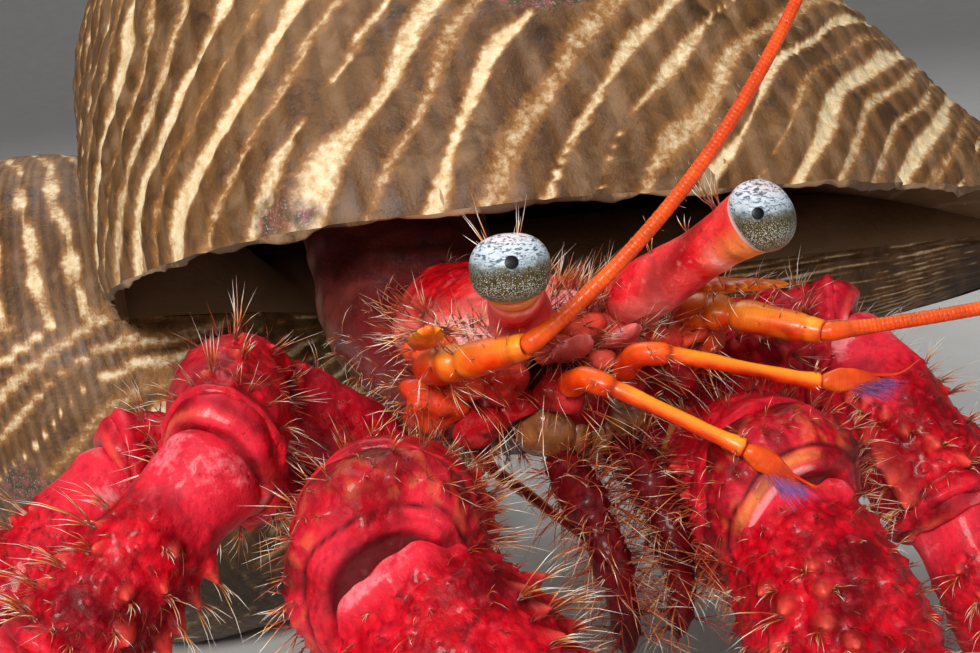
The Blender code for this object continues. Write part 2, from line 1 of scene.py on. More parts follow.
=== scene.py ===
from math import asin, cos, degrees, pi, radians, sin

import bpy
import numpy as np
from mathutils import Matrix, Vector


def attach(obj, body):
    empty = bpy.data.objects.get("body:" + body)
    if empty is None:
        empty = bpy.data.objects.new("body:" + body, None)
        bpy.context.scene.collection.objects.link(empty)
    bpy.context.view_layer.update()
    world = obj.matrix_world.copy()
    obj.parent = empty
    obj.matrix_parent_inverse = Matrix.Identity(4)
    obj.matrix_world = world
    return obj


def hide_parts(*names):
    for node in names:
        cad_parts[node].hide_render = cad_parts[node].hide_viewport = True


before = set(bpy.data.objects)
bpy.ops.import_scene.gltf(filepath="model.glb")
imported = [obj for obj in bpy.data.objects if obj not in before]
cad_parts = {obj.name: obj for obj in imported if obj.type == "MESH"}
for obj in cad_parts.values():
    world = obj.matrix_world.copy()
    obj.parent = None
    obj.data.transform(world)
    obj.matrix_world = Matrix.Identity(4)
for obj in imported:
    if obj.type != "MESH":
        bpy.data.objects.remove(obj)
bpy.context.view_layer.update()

# Looks of a red hermit crab (Dardanus calidus type) in a ribbed tun shell: life size, still.
# Lengths are millimetres measured from the head point, midway between the eyestalk bases, with +X
# to the crab's left, +Y to its back and +Z up.  The limb places repeat those of the solids.
# Every surface is a grid of points swept along a course; detail is raised on the grid, per-point
# values tell the materials where to pale or darken, and bristles are strands rooted on the grid.

MM = 0.001
HEAD = np.array((-9.0, -36.5, 47.5))            # head point in the row frame
FLOOR = -HEAD[2]
SIDES = {"right": -1.0, "left": 1.0}

EYE_SPREAD = 3.9
EYE_HEADING = {"right": (-28.4, 28.7), "left": (25.0, 30.0)}
EYESTALK_LENGTH, CORNEA_CENTRE, CORNEA_RADIUS = 10.0, 11.0, 2.08
CORNEA_TALL = {"right": 0.86, "left": 1.0}      # its height over its width
CORNEA_SQUARE = {"right": 2.35, "left": 2.1}
CORNEA_EDGE = radians(122)                      # where the dome meets the stalk, from its pole
PUPIL = {"right": (-22.0, 21.0), "left": (-41.0, 14.0)}     # where each dark spot faces
PUPIL_SIZE = {"right": 14.0, "left": 11.5}      # and its half angle, degrees
# Fainter spots beside it: their az and el from it, half angle, and strength
LESSER_SPOTS = ((13, 15, 6, 0.42), (-15, 12, 5, 0.40), (4, 24, 6, 0.42), (-7, 20, 4, 0.36))
FLAGELLUM_LENGTH, FLAGELLUM_BASE, FLAGELLUM_TIP = 86.0, 0.45, 0.20
ANNULUS = 0.27                                  # length of one ring of a feeler
SHIELD_FRONT, SHIELD_LENGTH, SHIELD_WIDTH = 0.6, 20.0, 17.0

# Limb plans.  Headings are (az, el) in degrees, and an article's plan ends with its length.
ANTENNA = {
    "right": dict(knots=((-10.2, -0.2, -1.4), (-8.9, -2.9, -0.8), (-6.8, -5.8, 0.1)),
                  start=(72, 30), finish=(150, 82), bend=0.8,
                  acicle=((-11.2, -1.6, 0.4), (-12.0, -4.8, 2.0))),
    "left": dict(knots=((8.6, 1.2, -1.6), (10.9, -2.6, -2.1), (13.4, -6.4, -2.9)),
                 start=(62, 2), finish=(84, 58), bend=1.3,
                 acicle=((7.4, -0.7, 0.4), (12.0, -4.9, 0.2))),
}
ANTENNULE = {
    "right": ((-2.6, -2.6, -3.6), (-1.8, -5.6, -3.2), (4.2, -10.6, -7.3), (6.6, -12.2, -9.4)),
    "left": ((1.2, -2.6, -3.6), (2.4, -5.1, -2.3), (11.2, -8.8, -5.2), (14.6, -10.2, -5.3)),
}
WALKING_LEGS = {
    "leg2_right": dict(hip=(-6.0, 10.6, -13.8), bend=(-17.1, 12.8, -3.9), knee=(-22.9, 2.0, -4.8),
                       carpus=(-76, -34, 14.5), propodus=(-68, -50, 20), dactyl=(-52, 25), size=1.0,
                       slim=0.68, lean=0.76),
    "leg2_left": dict(hip=(6.0, 10.6, -13.8), bend=(10.0, 11.4, -11.4), knee=(23.4, 4.6, -7.2),
                      carpus=(4, -47, 14.5), propodus=(6, -54, 20), dactyl=(10, 24), size=1.0),
    "leg3_right": dict(hip=(-6.0, 15.4, -13.6), bend=(-9.8, 17.4, -12.4), knee=(-25.4, 19.4, -9.4),
                       carpus=(-72, -38, 13.5), propodus=(-78, -46, 19), dactyl=(-66, 24), size=0.92),
    "leg3_left": dict(hip=(6.0, 15.4, -13.6), bend=(9.8, 17.4, -12.4), knee=(26.6, 16.6, -9.8),
                      carpus=(66, -38, 13.5), propodus=(62, -46, 19), dactyl=(52, 24), size=0.92),
}
CLAWS = {
    "right": dict(hip=(-5.6, 5.4, -14.2), bend=(-10.2, 3.0, -13.0), knee=(-18.0, -9.5, -8.9),
                  carpus=(30, -52, 12.5), palm_az=8, chela=30.0, size=1.01),
    "left": dict(hip=(5.8, 5.4, -14.2), bend=(9.6, 3.0, -14.2), knee=(8.2, -8.4, -12.4),
                 carpus=(-6, -48, 13.5), palm_az=16, chela=37.0, size=1.0),
}
FINGER_TIP_HEIGHT = 0.8

VALUES = ("pale", "dark", "warm", "along")      # per-point values that the materials read
SAMPLE = 0.08                                   # step at which profiles are softened, mm


# ---- numbers, vectors and paths ---------------------------------------------------------------
def clamp(x):
    return np.clip(x, 0, 1)


def peak(x, width):
    """1 where x is 0, falling off smoothly over about a width to each side."""
    return np.exp(-(x / width) ** 2)


def heading(az, el):
    """Unit vector: az degrees from straight ahead towards the crab's left, el degrees upward."""
    a, e = radians(az), radians(el)
    return np.array((sin(a) * cos(e), -cos(a) * cos(e), sin(e)))


def unit(v):
    v = np.asarray(v, float)
    return v / np.linalg.norm(v, axis=-1, keepdims=True)


def mirrored(point, side):
    return np.array(point, float) * (SIDES[side], 1.0, 1.0)


def smooth_path(knots, count):
    """Points along a smooth curve through the knots."""
    knots = np.array(knots, float)
    if len(knots) == 2:
        return knots[0] + np.linspace(0, 1, count)[:, None] * (knots[1] - knots[0])
    ends = np.vstack((2 * knots[0] - knots[1], knots, 2 * knots[-1] - knots[-2]))
    s = np.linspace(0, len(knots) - 1, count)
    i = np.minimum(s.astype(int), len(knots) - 2)
    t = (s - i)[:, None]
    a, b, c, d = (ends[i + k] for k in range(4))
    return 0.5 * (2 * b + (c - a) * t + (2 * a - 5 * b + 4 * c - d) * t ** 2
                  + (3 * b - a - 3 * c + d) * t ** 3)


def distances(points):
    steps = np.linalg.norm(np.diff(points, axis=0), axis=1)
    return np.concatenate(([0], np.cumsum(steps)))


def columns_at(at, known, table):
    """Each column of the table read at new places."""
    return np.stack([np.interp(at, known, table[:, k]) for k in range(table.shape[1])], axis=1)


class Course:
    """A smooth path with a cross direction, read by distance along it."""

    def __init__(self, knots, up=(0, 0, 1)):
        self.points = smooth_path(knots, 121)
        self.at = distances(self.points)
        self.length = self.at[-1]
        self.tangents = unit(np.gradient(self.points, axis=0))
        self.up = np.array(up, float)

    def frame(self, x):
        """Centres, tangents, across and lift directions at distances x, even past the ends."""
        inside = np.clip(x, 0, self.length)
        tangent = unit(columns_at(inside, self.at, self.tangents))
        centre = columns_at(inside, self.at, self.points) + tangent * (x - inside)[:, None]
        across = unit(np.cross(tangent, self.up))
        return centre, tangent, across, np.cross(across, tangent)


def waves(points, size, seed, count=16):
    """Soft irregular values, mostly -1 to 1, with features about size millimetres across."""
    rng = np.random.default_rng(seed)
    ways = unit(rng.normal(size=(count, 3))) * (rng.uniform(0.6, 1.7, (count, 1)) * pi / size)
    return np.sin(points @ ways.T + rng.uniform(0, 2 * pi, count)).sum(axis=-1) / count ** 0.5


# ---- meshes -----------------------------------------------------------------------------------
def grid_faces(rows, columns, closed=True):
    """Quads of a grid of points, wrapping round when closed, facing outward on a tube."""
    r, c = np.meshgrid(np.arange(rows - 1), np.arange(columns if closed else columns - 1),
                       indexing="ij")
    d = (c + 1) % columns
    quads = (r * columns + c, (r + 1) * columns + c, (r + 1) * columns + d, r * columns + d)
    return np.stack(quads, axis=-1).reshape(-1, 4)


def end_caps(rows, columns):
    first = np.arange(columns)[None, :]
    return [first, (rows - 1) * columns + first[:, ::-1]]


class Shape:
    """Gathers points, faces and per-point values, and makes them one piece."""

    def __init__(self):
        self.points, self.loops, self.sizes, self.uvs, self.count = [], [], [], [], 0
        self.values = {key: [] for key in VALUES}

    def add(self, points, faces, uv=None, **values):
        points = np.asarray(points, float).reshape(-1, 3)
        for group in faces:
            self.loops.append((np.asarray(group) + self.count).ravel())
            self.sizes.append(np.full(len(group), np.shape(group)[1]))
        for key in VALUES:
            self.values[key].append(np.broadcast_to(np.ravel(values.get(key, 0.0)), len(points)))
        self.points.append(points)
        self.uvs.append(np.zeros((len(points), 2)) if uv is None else uv)
        self.count += len(points)

    def make(self, name, material, slot, nodes=(), uv_map=False):
        points = (np.vstack(self.points) + HEAD) * MM
        loops, sizes = np.concatenate(self.loops), np.concatenate(self.sizes)
        mesh = bpy.data.meshes.new(name)
        mesh.vertices.add(len(points))
        mesh.vertices.foreach_set("co", points.ravel())
        mesh.loops.add(len(loops))
        mesh.loops.foreach_set("vertex_index", loops)
        mesh.polygons.add(len(sizes))
        mesh.polygons.foreach_set("loop_start", np.concatenate(([0], np.cumsum(sizes)[:-1])))
        mesh.polygons.foreach_set("use_smooth", np.ones(len(sizes), bool))
        mesh.update(calc_edges=True)
        for key, parts in self.values.items():
            values = np.concatenate(parts)
            if values.any():
                layer = mesh.attributes.new(key, "FLOAT", "POINT")
                layer.data.foreach_set("value", values.astype(np.float32))
        if uv_map:
            uv = np.vstack(self.uvs)[loops]
            mesh.uv_layers.new(name="OFBake").data.foreach_set("uv", uv.ravel())
        mesh.materials.append(material)
        piece = bpy.data.objects.new(name, mesh)
        bpy.context.scene.collection.objects.link(piece)
        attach(piece, "root")
        if nodes:
            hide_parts(*nodes)


def soften(table, reach):
    """Rounds the corners of a densely sampled profile, keeping its ends."""
    half = max(int(reach / SAMPLE / 2), 1)
    kernel = np.hanning(2 * half + 3)[1:-1]
    kernel /= kernel.sum()
    padded = np.pad(table, ((half, half), (0, 0)), mode="reflect", reflect_type="odd")
    return np.stack([np.convolve(column, kernel, mode="valid") for column in padded.T], axis=1)


def profile_run(table):
    """Distance along a profile's line, by place and mean half thickness."""
    return distances(np.stack((table[:, 0], 0.5 * (table[:, 1] + table[:, 2])), axis=1))


def per_point(values):
    """Lets one value for each ring stand for all the ring's points."""
    values = np.asarray(values, float)
    return values[:, None] if values.ndim == 1 else values


class Tube:
    """A closed limb surface as a grid of rings, with detail raised on it point by point.

    rows: (distance along, half width, half height, sideways shift, upward shift), first to last,
    and the distance may turn back to form the inside of a socket.  Every seed given to the tube's
    methods, and to the functions that dress it, is counted from the tube's own seed.
    """

    def __init__(self, course, rows, spacing, squareness=2.3, rounding=0.6, coat=None, seed=0):
        table = np.array([(*row, 0, 0)[:5] for row in rows], float)
        run = profile_run(table)
        dense = soften(columns_at(np.arange(0, run[-1], SAMPLE), run, table), rounding)
        run = profile_run(dense)
        self.rows = max(int(run[-1] / spacing), 10)
        table = columns_at(np.linspace(0, run[-1], self.rows), run, dense)
        self.x, widths, heights = table[:, 0], table[:, 1], table[:, 2]
        centre, self.tangent, self.across, self.lift = course.frame(self.x)
        centre = centre + self.across * table[:, 3:4] + self.lift * table[:, 4:5]
        self.columns = max(int(2 * pi * max(widths.max(), heights.max()) / spacing), 12)
        angles = 2 * pi * (np.arange(self.columns) + 0.5) / self.columns
        c, s = np.cos(angles), np.sin(angles)
        wide = np.sign(c) * np.abs(c) ** (2 / squareness)
        high = np.sign(s) * np.abs(s) ** (2 / squareness)
        self.base = (centre[:, None] + self.across[:, None] * (widths[:, None] * wide)[..., None]
                     + self.lift[:, None] * (heights[:, None] * high)[..., None])
        along = np.gradient(self.base, axis=0)
        around = np.roll(self.base, -1, axis=1) - np.roll(self.base, 1, axis=1)
        normal = np.cross(along, around)
        self.normals = normal / np.maximum(np.linalg.norm(normal, axis=2, keepdims=True), 1e-9)
        self.offset = self.normals * 0.0
        self.values = {key: np.zeros((self.rows, self.columns)) for key in VALUES}
        self.inside = np.concatenate(([False], np.diff(self.x) < -1e-3))
        self.spacing, self.coat, self.seed = spacing, coat, seed

    def waves(self, size, seed):
        return waves(self.base, size, self.seed + seed)

    def swell(self, height):
        """Moves the surface out by a height for each ring or point."""
        self.offset += self.normals * per_point(height)[..., None]

    def roughen(self, size, height, seed):
        self.swell(height * self.waves(size, seed))

    def tint(self, **values):
        """Adds to the per-point values."""
        for key, value in values.items():
            self.values[key] += per_point(value)

    def facing(self, *direction):
        """How squarely each point faces a direction, 0 to 1."""
        return clamp(self.normals @ np.array(direction))

    def toward(self, direction, row):
        """The column that faces a direction at a row."""
        angle = np.arctan2(self.lift[row] @ direction, self.across[row] @ direction) % (2 * pi)
        return int(angle / (2 * pi) * self.columns) % self.columns

    def row_at(self, x):
        return int(np.argmin(np.where(self.inside, 1e9, np.abs(self.x - x))))

    def window(self, row, column, radius):
        """The points within a radius of one, and how near they are, 0 to 1."""
        step = np.linalg.norm(self.base[row, (column + 1) % self.columns] - self.base[row, column])
        reach = int(radius / self.spacing) + 1
        side = min(int(radius / max(step, 0.02)) + 1, self.columns // 2 - 1)
        rows = np.arange(max(row - reach, 0), min(row + reach + 1, self.rows))
        columns = (column + np.arange(-side, side + 1)) % self.columns
        place = np.ix_(rows, columns)
        gap = np.linalg.norm(self.base[place] - self.base[row, column], axis=2) / radius
        return place, clamp(1 - gap)

    def bump(self, row, column, radius, height, lean=0.0, power=0.0, **values):
        """Raises a knob, or with a power above 0 a point, leaning towards the far end."""
        place, near = self.window(row, column, radius)
        form = near ** power if power else near * near * (3 - 2 * near)
        way = unit(self.normals[row, column] + lean * self.tangent[row])
        self.offset[place] += height * form[..., None] * way
        for key, value in values.items():
            self.values[key][place] = np.maximum(self.values[key][place], value * form)

    def scatter(self, rng, count, apart, start, end):
        """Places spread over the outside, at least so far apart."""
        rows = np.flatnonzero((self.x > start) & (self.x < end) & ~self.inside)
        size = np.linalg.norm(np.roll(self.base, 1, axis=1) - self.base, axis=2).sum(axis=1)[rows]
        found, spots = [], np.empty((0, 3))
        for _ in range(count * 6):
            row = int(rng.choice(rows, p=size / size.sum()))
            column = int(rng.integers(self.columns))
            spot = self.base[row, column]
            if len(spots) and np.linalg.norm(spots - spot, axis=1).min() < apart:
                continue
            spots = np.vstack((spots, spot))
            found.append((row, column))
            if len(found) == count:
                break
        return found

    def add_to(self, shape, **extra):
        values = {key: grid.ravel() for key, grid in self.values.items()}
        values.update(extra)
        faces = [grid_faces(self.rows, self.columns)] + end_caps(self.rows, self.columns)
        shape.add(self.base + self.offset, faces, **values)

    def make(self, name, material, slot, nodes=()):
        shape = Shape()
        self.add_to(shape)
        shape.make(name, material, slot, nodes)


class Coat:
    """Bristles as fine tapered strands.  Each tuft's bake patch lies at its root's own place."""

    PATCH = 0.003
    STEPS, SHARP = 4, 3                         # rings along a strand and its sides

    def __init__(self, name, cells, seed):
        self.name, self.cells, self.cell = name, cells, 0
        self.rng = np.random.default_rng(seed)
        self.strands = []

    def tuft(self, root, normal, lie, count, length, place, spread=0.45, thick=0.035, curl=0.35, tone=1.0):
        """count strands from near the root, standing along normal and bending towards lie."""
        rng = self.rng
        u = (self.cell + 0.02 + 0.96 * place[0]) / self.cells
        v = 0.02 + 0.96 * place[1]
        for _ in range(count):
            way = unit(normal + rng.normal(scale=spread, size=3))
            bend = unit(lie + rng.normal(scale=0.3, size=3)) * curl * rng.uniform(0.4, 1.5)
            start = root + np.cross(way, rng.normal(size=3)) * 0.09
            size = 1.3 * length * rng.uniform(0.5, 1.3)
            self.strands.append((*start, *way, *bend, size, 1.25 * thick * rng.uniform(0.7, 1.25), u, v,
                                 tone * rng.uniform(0.8, 1.1)))

    def on(self, tube, row, column, count, length, lie=None, **more):
        """A tuft standing on a tube, bending towards its far end or as lie says."""
        self.tuft(tube.base[row, column] + tube.offset[row, column], tube.normals[row, column],
                  tube.tangent[row] if lie is None else np.array(lie), count, length,
                  (column / tube.columns, row / tube.rows), **more)

    def make(self, material, slot):
        """Makes all the strands one piece, each a thin cone of a few rings, closed at both ends."""
        s = np.array(self.strands)
        n, k = len(s), self.STEPS
        start, way, bend, size, thick = s[:, :3], s[:, 3:6], s[:, 6:9], s[:, 9], s[:, 10]
        t = np.linspace(0, 1, k)
        spine = (start[:, None] + way[:, None] * (t * size[:, None])[..., None]
                 + bend[:, None] * (t ** 2 * size[:, None])[..., None])
        side = unit(np.cross(way, (0.31, 0.52, 0.79)))
        other = np.cross(way, side)
        angle = 2 * pi * np.arange(self.SHARP) / self.SHARP
        ring = (side[:, None] * np.cos(angle)[None, :, None]
                + other[:, None] * np.sin(angle)[None, :, None])
        radius = thick[:, None] * (1 - t ** 1.6 * 0.94)
        points = spine[:, :, None] + ring[:, None] * radius[..., None, None]
        points[..., 2] = np.maximum(points[..., 2], FLOOR + 0.02)
        strip = np.roll(grid_faces(k, self.SHARP)[:, ::-1], 1, axis=1)
        first = np.arange(n)[:, None, None] * (k * self.SHARP)
        ends = first[:, 0] + np.arange(self.SHARP)[None, :]
        tips = ends[:, ::-1] + (k - 1) * self.SHARP
        along = np.broadcast_to(t[None, :, None], points.shape[:3])
        u = s[:, 11][:, None, None] + 0.4 * self.PATCH * np.cos(angle)[None, None, :] + 0 * along
        v = s[:, 12][:, None, None] + self.PATCH * (along - 0.5)
        shape = Shape()
        shape.add(points, [(first + strip[None]).reshape(-1, 4), ends, tips],
                  uv=np.stack((u, v), axis=-1).reshape(-1, 2),
                  along=(along * s[:, 13][:, None, None]).ravel())
        shape.make(self.name, material, slot, uv_map=True)


# ---- materials --------------------------------------------------------------------------------
def shaded(colour, share):
    return [share * part for part in colour]


class Paint:
    """One procedural material, its colour built up in layers.  Texture sizes are in millimetres."""

    def __init__(self, name):
        self.material = bpy.data.materials.new(name)
        self.material.use_nodes = True
        self.tree = self.material.node_tree
        place = self.node("ShaderNodeTexCoord").outputs["Object"]
        self.mm = self.node("ShaderNodeVectorMath", {0: place, "Scale": 1 / MM}, operation="SCALE").outputs[0]
        self.colour = None

    def fill(self, socket, value):
        """Links a socket's input, or sets it to a number or a colour."""
        if isinstance(value, bpy.types.NodeSocket):
            self.tree.links.new(value, socket)
        else:
            socket.default_value = (*value, 1.0) if socket.type == "RGBA" else value

    def node(self, kind, inputs=None, **settings):
        made = self.tree.nodes.new(kind)
        for key, value in settings.items():
            setattr(made, key, value)
        for key, value in (inputs or {}).items():
            self.fill(made.inputs[key], value)
        return made

    def noise(self, size, detail, roughness=0.55, distortion=0.0, at=None):
        inputs = {"Vector": at or self.mm, "Scale": 1 / size, "Detail": detail,
                  "Roughness": roughness, "Distortion": distortion}
        return self.node("ShaderNodeTexNoise", inputs).outputs["Fac"]

    def cells(self, size):
        return self.node("ShaderNodeTexVoronoi", {"Vector": self.mm, "Scale": 1 / size}).outputs["Distance"]

    def value(self, name):
        return self.node("ShaderNodeAttribute", attribute_name=name).outputs["Fac"]

    def maths(self, operation, a, b=0.0, clamp=False):
        return self.node("ShaderNodeMath", {0: a, 1: b}, operation=operation, use_clamp=clamp).outputs[0]

    def times(self, a, b, clamp=False):
        return self.maths("MULTIPLY", a, b, clamp)

    def span(self, value, low, high, to_low=0.0, to_high=1.0):
        inputs = {"Value": value, "From Min": low, "From Max": high, "To Min": to_low, "To Max": to_high}
        return self.node("ShaderNodeMapRange", inputs).outputs["Result"]

    def mix(self, factor, a, b):
        return self.node("ShaderNodeMix", {0: factor, 6: a, 7: b}, data_type="RGBA").outputs[2]

    def ramp(self, factor, *stops):
        """Starts the colour from a ramp of (position, colour) stops."""
        made = self.node("ShaderNodeValToRGB", {"Fac": factor})
        band = made.color_ramp
        while len(band.elements) < len(stops):
            band.elements.new(0.5)
        for element, (position, colour) in zip(band.elements, stops):
            element.position, element.color = position, (*colour, 1.0)
        self.colour = made.outputs["Color"]

    def lay(self, tint, factor):
        self.colour = self.mix(factor, self.colour, tint)

    def layer(self, tint, value, low, high, amount=1.0):
        """Lays on a tint, from none of it where the value is low to the full amount where it is high."""
        self.lay(tint, self.span(value, low, high, 0.0, amount))

    def wash(self, tint, value, strength):
        self.lay(tint, self.times(value, strength, True))

    def bump(self, height, depth, under):
        """Adds to the bumps under it a height 0..1 that stands for depth millimetres."""
        inputs = {"Height": height, "Strength": 1.0, "Distance": depth * MM}
        if under:
            inputs["Normal"] = under
        return self.node("ShaderNodeBump", inputs).outputs["Normal"]

    def finish(self, roughness, bumps=(), **inputs):
        """Joins the colour, roughness, bumps of (height, depth) and further inputs into the shader."""
        normal = None
        for height, depth in bumps:
            normal = self.bump(height, depth, normal)
        sockets = {"Base Color": self.colour, "Roughness": roughness}
        sockets.update({key.replace("_", " "): value for key, value in inputs.items()})
        if normal:
            sockets["Normal"] = normal
        for key, value in sockets.items():
            self.fill(self.tree.nodes["Principled BSDF"].inputs[key], value)
        return self.material


def red_cuticle(name, deep, bright, pink, gloss, pitting=0.5, amber=(0.92, 0.28, 0.07), pebbles=0.0):
    """Crab cuticle: saturated red, pink where it is worn or thin and where pieces lay painted highlights on
    it, darker where they lay painted shade, grained, with a wet gloss.
    """
    p = Paint(name)
    fine, grain = p.noise(0.55, 4, 0.65), p.noise(0.13, 3, 0.6)
    p.ramp(p.noise(5.0, 3, 0.6, 0.4), (0.34, deep), (0.52, bright),
           (0.78, [0.6 * a + 0.4 * b for a, b in zip(bright, pink)]))
    p.layer(pink, fine, 0.58, 0.76, 0.50)
    p.layer(deep, p.noise(1.7, 4, 0.7, 0.6), 0.48, 0.34, 0.85)
    p.layer(deep, fine, 0.46, 0.28, 0.80)
    # The pale value carries pale spots of the cuticle and the painted highlights that some pieces lay on.
    pale = p.times(p.value("pale"), p.span(fine, 0.2, 0.8, 0.7, 1.15))
    p.wash(pink, pale, 0.85)
    p.layer((0.94, 0.38, 0.41), pale, 0.75, 1.1, 0.75)
    p.wash(amber, p.value("warm"), 0.9)
    pores, pebble = p.cells(0.62), p.cells(0.70)
    p.lay(shaded(deep, 0.35), p.times(p.span(pores, 0.0, 0.14, 1.0, 0.0), pitting))
    rough_skin = p.span(p.value("pale"), 0.25, 0.6, pebbles, 0.0)
    p.lay(shaded(deep, 0.6), p.times(p.span(pebble, 0.42, 0.70), rough_skin))
    p.lay(pink, p.times(p.span(pebble, 0.30, 0.05, 0.0, 0.6), rough_skin))
    # The dark value carries dark joints and horn, and the painted shade that some pieces lay in hollows and
    # gaps.
    dark = p.value("dark")
    p.layer((0.10, 0.004, 0.006), dark, 0.05, 0.75)
    p.layer((0.010, 0.007, 0.007), dark, 0.85, 1.0)
    bumps = [(p.noise(1.3, 2, 0.5), 0.14)]
    if pebbles:
        bumps += [(p.times(p.span(pebble, 0.62, 0.05), rough_skin), 0.30)]
    bumps += [(fine, 0.09), (grain, 0.028), (p.span(pores, 0.0, 0.16), 0.04)]
    return p.finish(p.span(fine, 0.3, 0.7, gloss, gloss + 0.16), bumps, Specular_IOR_Level=0.11,
                    Coat_Weight=0.11, Coat_Roughness=0.12, Subsurface_Weight=0.12,
                    Subsurface_Radius=(1.0, 0.22, 0.12), Subsurface_Scale=0.0009)


def orange_cuticle(name):
    """Feelers: translucent orange, yellow where the pale value is high (pale bands, and painted highlights on
    the upper sides), reddish in the joints.
    """
    p = Paint(name)
    fine = p.noise(0.22, 3, 0.6)
    p.ramp(p.noise(1.6, 3, 0.6), (0.32, (0.46, 0.014, 0.001)), (0.52, (0.70, 0.034, 0.001)),
           (0.70, (0.86, 0.085, 0.003)))
    p.wash((1.0, 0.36, 0.025), p.value("pale"), 0.9)
    p.layer((0.30, 0.014, 0.002), p.value("dark"), 0.0, 1.0, 0.9)
    p.wash((0.50, 0.010, 0.010), p.value("warm"), 0.95)
    ring = p.times(p.maths("SINE", p.times(p.value("along"), 2 * pi / ANNULUS)), 0.5)
    p.layer((0.34, 0.016, 0.002), ring, -0.15, -0.5, 0.28)
    return p.finish(p.span(fine, 0.3, 0.7, 0.30, 0.44), [(fine, 0.03), (ring, 0.012)],
                    Specular_IOR_Level=0.25, Coat_Weight=0.18, Coat_Roughness=0.14,
                    Subsurface_Weight=0.25, Subsurface_Radius=(1.0, 0.4, 0.12),
                    Subsurface_Scale=0.0008)


def cornea_paint(name):
    """The eye's face: streaked silver above, speckled olive brown below, a pale rim, a black spot."""
    p = Paint(name)
    level = p.node("ShaderNodeVectorMath", {0: p.mm, 1: (0.55, 0.55, 1.7)}, operation="MULTIPLY").outputs[0]
    soft = p.noise(0.55, 4, 0.7, 0.8)
    height = p.maths("ADD", p.value("along"), p.span(soft, 0.3, 0.7, -0.06, 0.06))
    lower = p.span(height, 0.64, 0.52)
    p.ramp(height, (0.06, (0.24, 0.17, 0.085)), (0.20, (0.105, 0.065, 0.020)),
           (0.46, (0.075, 0.052, 0.018)), (0.57, (0.12, 0.12, 0.10)), (0.66, (0.42, 0.49, 0.54)),
           (0.85, (0.62, 0.68, 0.76)), (0.95, (0.74, 0.66, 0.70)))
    marks = p.times(p.span(p.noise(0.22, 3, 0.6, 0.9, at=level), 0.50, 0.57), p.span(soft, 0.36, 0.50))
    p.lay((0.030, 0.060, 0.085), p.times(p.times(marks, p.span(height, 0.55, 0.65)), 0.9))
    band = p.span(p.maths("ABSOLUTE", p.maths("SUBTRACT", height, 0.27)), 0.04, 0.20, 0.42, 0.26)
    glint = p.times(p.maths("LESS_THAN", p.cells(0.085), band), lower)
    p.lay((0.52, 0.56, 0.52), p.times(glint, 0.75))
    p.lay((0.012, 0.014, 0.008), p.times(p.span(p.cells(0.12), 0.60, 0.75, 0.0, 0.8), lower))
    p.layer((0.80, 0.58, 0.50), p.value("warm"), 0.25, 0.8)
    p.layer((0.002, 0.003, 0.004), p.value("dark"), 0.35, 0.6)
    return p.finish(0.34, [(p.cells(0.045), 0.004)], Specular_IOR_Level=0.10, Coat_Weight=0.05,
                    Coat_Roughness=0.08)


def plain_skin(name, low, high, pale, size, rough=0.42):
    """Soft skin and mouthparts: two mingled tones, paler where stretched."""
    p = Paint(name)
    fine = p.noise(size, 4, 0.6, 0.3)
    p.ramp(fine, (0.35, low), (0.65, high))
    p.wash(pale, p.value("pale"), 0.9)
    p.layer(shaded(low, 0.15), p.value("dark"), 0.0, 1.0, 0.9)
    p.wash((0.20, 0.004, 0.010), p.value("warm"), 0.95)
    return p.finish(p.span(fine, 0.3, 0.7, rough - 0.08, rough + 0.08),
                    [(fine, 0.12), (p.noise(0.25, 3, 0.6), 0.03)], Coat_Weight=0.25, Subsurface_Weight=0.2,
                    Subsurface_Radius=(1.0, 0.4, 0.25), Subsurface_Scale=0.001)


def hair_paint(name, root_rough, tip_rough, *stops, clumped=False):
    """Bristles and brushes: coloured from root to tip, and with clumped also in patches."""
    p = Paint(name)
    along = p.value("along")
    p.ramp(along, *stops)
    if clumped:
        clump = p.noise(2.2, 2)
        p.layer((0.98, 0.84, 0.58), clump, 0.60, 0.72, 0.50)
        p.layer((0.34, 0.030, 0.006), clump, 0.40, 0.30, 0.5)
    return p.finish(p.span(along, 0.0, 1.0, root_rough, tip_rough), Coat_Weight=0.2)


